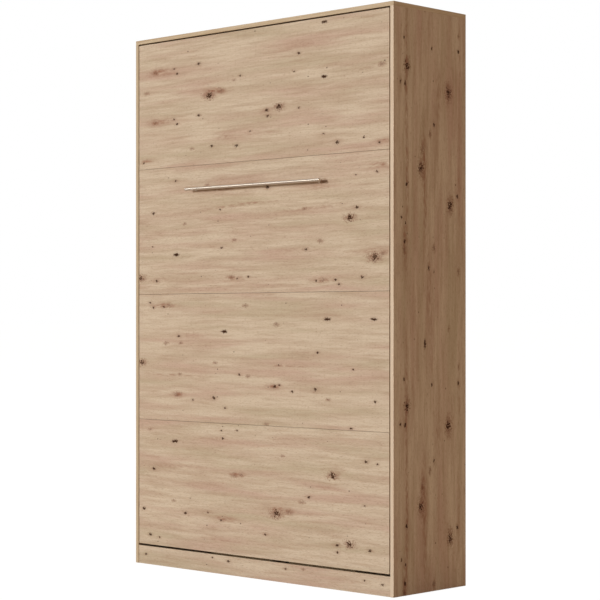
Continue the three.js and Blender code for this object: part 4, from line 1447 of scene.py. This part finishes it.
@dataclass
class Straps:
    """Webbing straps that hold the mattress while the bed stands up, each with a ladder-lock buckle."""

    bend_mm: float = 24.0
    thickness_mm: float = 1.8
    buckle_from_middle_mm: float = 230.0

    def band(self, node: str) -> None:
        """The strap: a thin rectangle carried up one side, round the corner arcs, across and down."""
        low, high = (np.array(corner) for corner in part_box(node))
        radius = self.bend_mm * MM
        half = self.thickness_mm * MM / 2
        x, y = high[0] - half, high[1] - half
        arc = np.linspace(0, np.pi / 2, 12)
        right = np.stack([x - radius + radius * np.cos(arc), y - radius + radius * np.sin(arc)], axis=-1)
        path = np.concatenate([[[x, low[1]]], right, right[::-1] * [-1, 1], [[-x, low[1]]]])
        ahead = np.gradient(path, axis=0)
        ahead /= np.linalg.norm(ahead, axis=1)[:, None]
        outward = np.stack([ahead[:, 1], -ahead[:, 0]], axis=-1)
        section = rounded_outline(2 * half, high[2] - low[2], half * 0.9, corner_points=3)
        rings = np.zeros((len(path), len(section), 3))
        rings[:, :, :2] = path[:, None] + section[None, :, :1] * outward[:, None]
        rings[:, :, 2] = section[:, 1] + (low[2] + high[2]) / 2
        strap = make_object(f"{node}_webbing", *loft(rings), [Finish.WEBBING], sharp_degrees=60)
        declare(strap, "bed", "strap_webbing", node)

    def buckle(self, node: str) -> None:
        """The ladder lock: two nested rounded frames with a bar between, low on the strap."""
        low, high = (np.array(corner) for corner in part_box(node))
        width, length, bar, rise = (high[2] - low[2] + 12 * MM, 46 * MM, 6 * MM, 3.4 * MM)
        centre = np.array([self.buckle_from_middle_mm * MM, high[1] - 0.4 * MM, (low[2] + high[2]) / 2])
        outer = rounded_outline(length, width, 7 * MM)
        inner = rounded_outline(length - 2 * bar, width - 2 * bar, 3 * MM)
        rings = np.zeros((4, len(outer), 3))
        rings[:, :, [0, 2]] = np.stack([outer, outer, inner, inner])
        rings[:, :, 1] = (np.array([0, 1, 1, 0]) * rise)[:, None]
        parts = [loft(rings + centre, closed_path=True)]
        for offset in (-7 * MM, 7 * MM):
            half = np.array([2.6 * MM, rise / 2.4, width / 2 - bar])
            middle = centre + [offset, rise / 2, 0]
            parts.append(lattice_box(middle - half, middle + half, np.ones(3)))
        buckle = make_object(f"{node}_buckle", *merged_surfaces(parts), [Finish.NYLON])
        declare(bevelled(buckle, 0.7), "bed", "nylon")

    def build(self) -> None:
        """Builds both straps and their buckles."""
        for number in (1, 2):
            self.band(f"mattress_strap_{number}")
            self.buckle(f"mattress_strap_{number}")


# ---------------------------------------------------------------- hinges, struts and legs


@dataclass
class Hinges:
    """The side fittings: plates, pivot pins and bushes, strut studs and the plates' screws."""

    plate_edge_mm: float = 0.5

    def plates(self) -> None:
        """The cabinet plates and the bed's lever plates."""
        for side, _ in SIDES:
            for node, body in (
                (f"cabinet_hinge_plate_{side}", "cabinet"),
                (f"bed_hinge_plate_{side}", "bed"),
            ):
                plate = refined_copy(node, f"{node}_steel", Finish.POWDER_COAT, self.plate_edge_mm)
                declare(plate, body, "frame_steel", node)

    def pins(self) -> None:
        """The pins, studs and bushes, with eased edges."""
        rows = (
            ("pivot_pin", "cabinet", "zinc_steel", Finish.ZINC),
            ("cabinet_strut_stud", "cabinet", "zinc_steel", Finish.ZINC),
            ("bed_strut_stud", "bed", "zinc_steel", Finish.ZINC),
            ("pivot_bush", "bed", "nylon", Finish.NYLON),
            ("leg_pivot", "bed", "zinc_steel", Finish.ZINC),
        )
        for side, _ in SIDES:
            for name, body, slot, finish in rows:
                node = f"{name}_{side}"
                declare(refined_copy(node, f"{node}_turned", finish, 0.35), body, slot, node)

    def screw_head(self) -> list:
        """A flanged screw head's closed profile, with a round socket."""
        return [(1.3, 0.6), (2.2, 0.7), (2.4, 1.5), (3.2, 1.4), (4.4, 0.9), (4.8, 0.0), (1.3, 0.0)]

    def screws(self) -> None:
        """Screw heads on the cabinet plates, in two rows up each plate, and on the bed's plates."""
        for side, sign in SIDES:
            low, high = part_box(f"cabinet_hinge_plate_{side}")
            face = low.x if sign > 0 else high.x
            lean = (high.y - low.y) / (high.z - low.z) * 0.55
            parts = []
            for step in (0.07, 0.24, 0.4, 0.56, 0.72, 0.95):
                z = low.z + step * (high.z - low.z)
                y = (low.y + high.y) / 2 + (z - (low.z + high.z) / 2) * lean
                for offset in ((-0.016, 0.016) if step < 0.9 else (0.0,)):
                    points, faces = lathe(self.screw_head(), sides=24, chamfer_mm=0.15, hollow=True)
                    parts.append((aimed(points, Vector((face, y + offset, z)), Vector((-sign, 0, 0))), faces))
            heads = make_object(f"cabinet_plate_screws_{side}", *merged_surfaces(parts), [Finish.ZINC])
            declare(heads, "cabinet", "zinc_steel")
            low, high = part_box(f"bed_hinge_plate_{side}")
            face = high.x if sign > 0 else low.x
            parts = []
            for z in (low.z + 0.02, low.z + 0.105, low.z + 0.19, high.z - 0.05, high.z - 0.018):
                points, faces = lathe(self.screw_head(), sides=24, chamfer_mm=0.15, hollow=True)
                parts.append((aimed(points, Vector((face, low.y + 0.017, z)), Vector((sign, 0, 0))), faces))
            heads = make_object(f"bed_plate_screws_{side}", *merged_surfaces(parts), [Finish.ZINC])
            declare(heads, "bed", "zinc_steel")

    def build(self) -> None:
        """Builds plates, pins and screws."""
        self.plates()
        self.pins()
        self.screws()


@dataclass
class GasStruts:
    """Two gas struts, each a painted cylinder with a crimped gland and a chromed rod, with eye ends."""

    length_mm: float = 622.0
    eye_radius_mm: float = 10.0
    eye_bore_mm: float = 5.3
    eye_thickness_mm: float = 10.0
    neck_mm: float = 28.0
    tube_radius_mm: float = 11.0
    tube_end_mm: float = 365.0
    rod_radius_mm: float = 5.0
    rod_end_mm: float = 302.0

    def eye(self, origin: Vector, way: Vector) -> tuple[np.ndarray, list]:
        """An eye about X with its neck along the strut."""
        radius, half = self.eye_radius_mm, self.eye_thickness_mm / 2
        ring = [(self.eye_bore_mm, -half), (radius, -half), (radius, half), (self.eye_bore_mm, half)]
        eye_points, eye_faces = lathe(ring, sides=48, chamfer_mm=0.8, hollow=True)
        neck_points, neck_faces = lathe(
            pin_profile((6.0, radius - 2.0, self.neck_mm)), sides=32, chamfer_mm=0.8
        )
        return merged_surfaces([
            (aimed(eye_points, origin, Vector((1, 0, 0))), eye_faces),
            (aimed(neck_points, origin, way), neck_faces),
        ])

    def cylinder(self, side: str, origin: Vector, way: Vector) -> None:
        """The cylinder: domed closed end, straight tube, a rolled groove and the crimped gland."""
        tube, end, neck = self.tube_radius_mm, self.tube_end_mm, self.neck_mm
        profile = [
            (3.0, neck - 3), (tube - 3.5, neck - 3), (tube - 0.6, neck), (tube, neck + 4),
            (tube, end - 26), (tube - 0.9, end - 24), (tube - 0.9, end - 21), (tube, end - 19),
            (tube, end - 3),
            (tube - 2.2, end), (5.4, end), (5.4, end - 12), (3.0, end - 12),
        ]
        points, faces = lathe(profile, sides=64, chamfer_mm=0.5)
        tube_part = (aimed(points, origin, way), faces)
        piece = make_object(f"strut_cylinder_{side}_tube", *tube_part, [Finish.STRUT_PAINT])
        declare(piece, f"strut_cylinder_{side}", "strut_black", f"strut_cylinder_{side}")
        eye = make_object(f"strut_cylinder_{side}_eye", *self.eye(origin, way), [Finish.ZINC])
        declare(eye, f"strut_cylinder_{side}", "zinc_steel")

    def rod(self, side: str, origin: Vector, way: Vector) -> None:
        """The rod, its eye and the bolt through the eye."""
        profile = pin_profile((self.rod_radius_mm, self.neck_mm - 3, self.rod_end_mm))
        points, faces = lathe(profile, sides=48, chamfer_mm=0.6)
        piece = make_object(f"strut_rod_{side}_shaft", aimed(points, origin, way), faces, [Finish.CHROME])
        declare(piece, f"strut_rod_{side}", "strut_chrome", f"strut_rod_{side}")
        eye = make_object(f"strut_rod_{side}_eye", *self.eye(origin, way), [Finish.ZINC])
        declare(eye, f"strut_rod_{side}", "zinc_steel")
        outward = Vector((1 if side == "right" else -1, 0, 0))
        bolt_points, bolt_faces = lathe(
            pin_profile((4.9, -5.4, 5.6), (8.0, 5.6, 9.8)), sides=40, chamfer_mm=0.6
        )
        bolt = make_object(
            f"strut_lower_bolt_{side}", aimed(bolt_points, origin, outward), bolt_faces, [Finish.ZINC]
        )
        declare(bolt, f"strut_rod_{side}", "zinc_steel")

    def build(self) -> None:
        """Builds both struts between the studs that the joints give."""
        joints = {joint["name"]: joint for joint in frame["joints"]}
        for side, _ in SIDES:
            upper = Vector(joints[f"strut_swing_{side}"]["pos_m"])
            upward = Vector(joints[f"strut_slide_{side}"]["axis"]).normalized()
            lower = upper - upward * self.length_mm * MM
            self.cylinder(side, upper, -upward)
            self.rod(side, lower, upward)


@dataclass
class Legs:
    """The flat steel legs and their nylon glides."""

    def build(self) -> None:
        """Builds both legs from the CAD outlines with eased edges."""
        for side, _ in SIDES:
            leg = refined_copy(f"leg_{side}", f"leg_{side}_strip", Finish.POWDER_COAT, 0.5)
            declare(leg, f"leg_{side}", "frame_steel", f"leg_{side}")
            glide = refined_copy(f"leg_glide_{side}", f"leg_glide_{side}_moulded", Finish.NYLON, 0.5)
            declare(glide, f"leg_{side}", "nylon", f"leg_glide_{side}")


# ---------------------------------------------------------------- studio


@dataclass
class Studio:
    """A pale floor that runs into a white surround, soft lights, and a camera at standing height."""

    camera_place: tuple[float, float, float] = (5.0044, -5.1983, 0.9992)
    camera_azimuth_degrees: float = 43.597
    lens_mm: float = 109.94
    shift_up: float = 0.03376
    surround: str = "#ffffff"
    floor_tint: str = "#cdb6a0"
    floor_radius: float = 400.0

    def camera(self) -> None:
        """A level camera at standing height, turned to the cabinet's right front corner."""
        data = bpy.data.cameras.new("camera")
        data.lens = self.lens_mm
        data.sensor_width = 36.0
        data.shift_y = self.shift_up
        camera = bpy.data.objects.new("camera", data)
        camera.location = self.camera_place
        camera.rotation_euler = (math.pi / 2, 0.0, math.radians(self.camera_azimuth_degrees))
        bpy.context.scene.collection.objects.link(camera)
        bpy.context.scene.camera = camera

    def floor(self) -> None:
        """A wide disc of pale matt floor at Z = 0, washed out to white as under an overexposed sweep."""
        angle = np.linspace(0, 2 * np.pi, 96, endpoint=False)
        rim = np.stack([np.cos(angle), np.sin(angle), 0 * angle], axis=-1) * self.floor_radius
        mesh = bpy.data.meshes.new("floor")
        mesh.from_pydata(rim.tolist(), [], [list(range(len(rim)))])
        material, tree, shader = new_material(
            "pale_matt_floor", Roughness=0.9, Base_Color=linear(self.floor_tint)
        )
        output = next(n for n in tree.nodes if n.type == "OUTPUT_MATERIAL")
        seen = add_node(tree, "ShaderNodeEmission", {"Color": linear(self.surround), "Strength": 1.1})
        path = add_node(tree, "ShaderNodeLightPath")
        amount = add_node(
            tree, "ShaderNodeMath", {0: path.outputs["Is Camera Ray"], 1: 0.9}, operation="MULTIPLY"
        )
        mix = add_node(tree, "ShaderNodeMixShader", {0: amount, 1: shader, 2: seen})
        tree.links.new(mix.outputs[0], output.inputs["Surface"])
        mesh.materials.append(material)
        floor = bpy.data.objects.new("floor", mesh)
        bpy.context.scene.collection.objects.link(floor)

    def area_light(
        self,
        name: str,
        place: tuple,
        target: tuple,
        size: float,
        power: float,
        colour: str,
        mirrored: bool = True,
        lights: bool = True,
    ) -> None:
        """One square soft light aimed at a point.

        Args:
            name: The light's name.
            place: Where it hangs.
            target: What it points at.
            size: Side of the square.
            power: Watts.
            colour: Its sRGB hex colour.
            mirrored: Whether polished pieces show its reflection.
            lights: Whether it lights matt surfaces.
        """
        data = bpy.data.lights.new(name, "AREA")
        data.size = size
        data.energy = power
        data.color = linear(colour)[:3]
        light = bpy.data.objects.new(name, data)
        light.location = place
        light.visible_glossy = mirrored
        light.visible_diffuse = lights
        aim = Vector(target) - Vector(place)
        light.rotation_euler = aim.to_track_quat("-Z", "Y").to_euler()
        bpy.context.scene.collection.objects.link(light)

    def world(self) -> None:
        """A white surround that the camera sees, and a weaker ambient light that is a little stronger in
        reflections.
        """
        world = bpy.data.worlds.new("surround")
        bpy.context.scene.world = world
        world.use_nodes = True
        tree = world.node_tree
        output = next(n for n in tree.nodes if n.type == "OUTPUT_WORLD")
        seen = add_node(tree, "ShaderNodeBackground", {"Color": linear(self.surround), "Strength": 1.0})
        ambient = add_node(tree, "ShaderNodeBackground", {"Color": linear("#ffeee4"), "Strength": 0.22})
        mirrored = add_node(tree, "ShaderNodeBackground", {"Color": linear("#fff6ee"), "Strength": 0.28})
        path = add_node(tree, "ShaderNodeLightPath")
        mix = add_node(
            tree, "ShaderNodeMixShader", {0: path.outputs["Is Glossy Ray"], 1: ambient, 2: mirrored}
        )
        mix = add_node(tree, "ShaderNodeMixShader", {0: path.outputs["Is Camera Ray"], 1: mix, 2: seen})
        tree.links.new(mix.outputs[0], output.inputs["Surface"])

    def build(self) -> None:
        """Builds the camera, floor, lights and surround, with plain display colours."""
        bpy.context.scene.view_settings.view_transform = "Standard"
        self.camera()
        self.floor()
        self.world()
        self.area_light("key", (-16.0, -50.5, 9.5), (0.0, 0.0, 1.0), 10.0, 22600.0, "#f4f7ff", mirrored=False)
        self.area_light("glint", (-38.0, -38.0, 20.0), (0.0, 0.0, 1.0), 11.0, 7000.0, "#fffaf2", lights=False)
        self.area_light("side_fill", (14.0, 1.0, 4.5), (0.7, 0.0, 1.0), 8.0, 294.0, "#ffe3cf")
        self.area_light(
            "overhead", (-1.0, 2.0, 14.0), (-1.0, 2.0, 0.0), 5.0, 460.0, "#ffffff", mirrored=False
        )
        self.area_light("rear_fill", (-5.5, 9.0, 4.5), (0.0, 0.0, 1.0), 5.0, 380.0, "#ffffff")


def main() -> None:
    """Builds the studio and the bed's sub-assemblies in order."""
    logging.basicConfig(level=logging.INFO, format="%(message)s")
    cabinet = (Carcass(), Front(), Handle())
    bed = (SteelFrame(), SlatBase(), Mattress(), Straps())
    fittings = (Hinges(), GasStruts(), Legs())
    for assembly in (Studio(), *cabinet, *bed, *fittings):
        LOG.info("building %s", type(assembly).__name__)
        assembly.build()


if __name__ == "__main__":
    main()
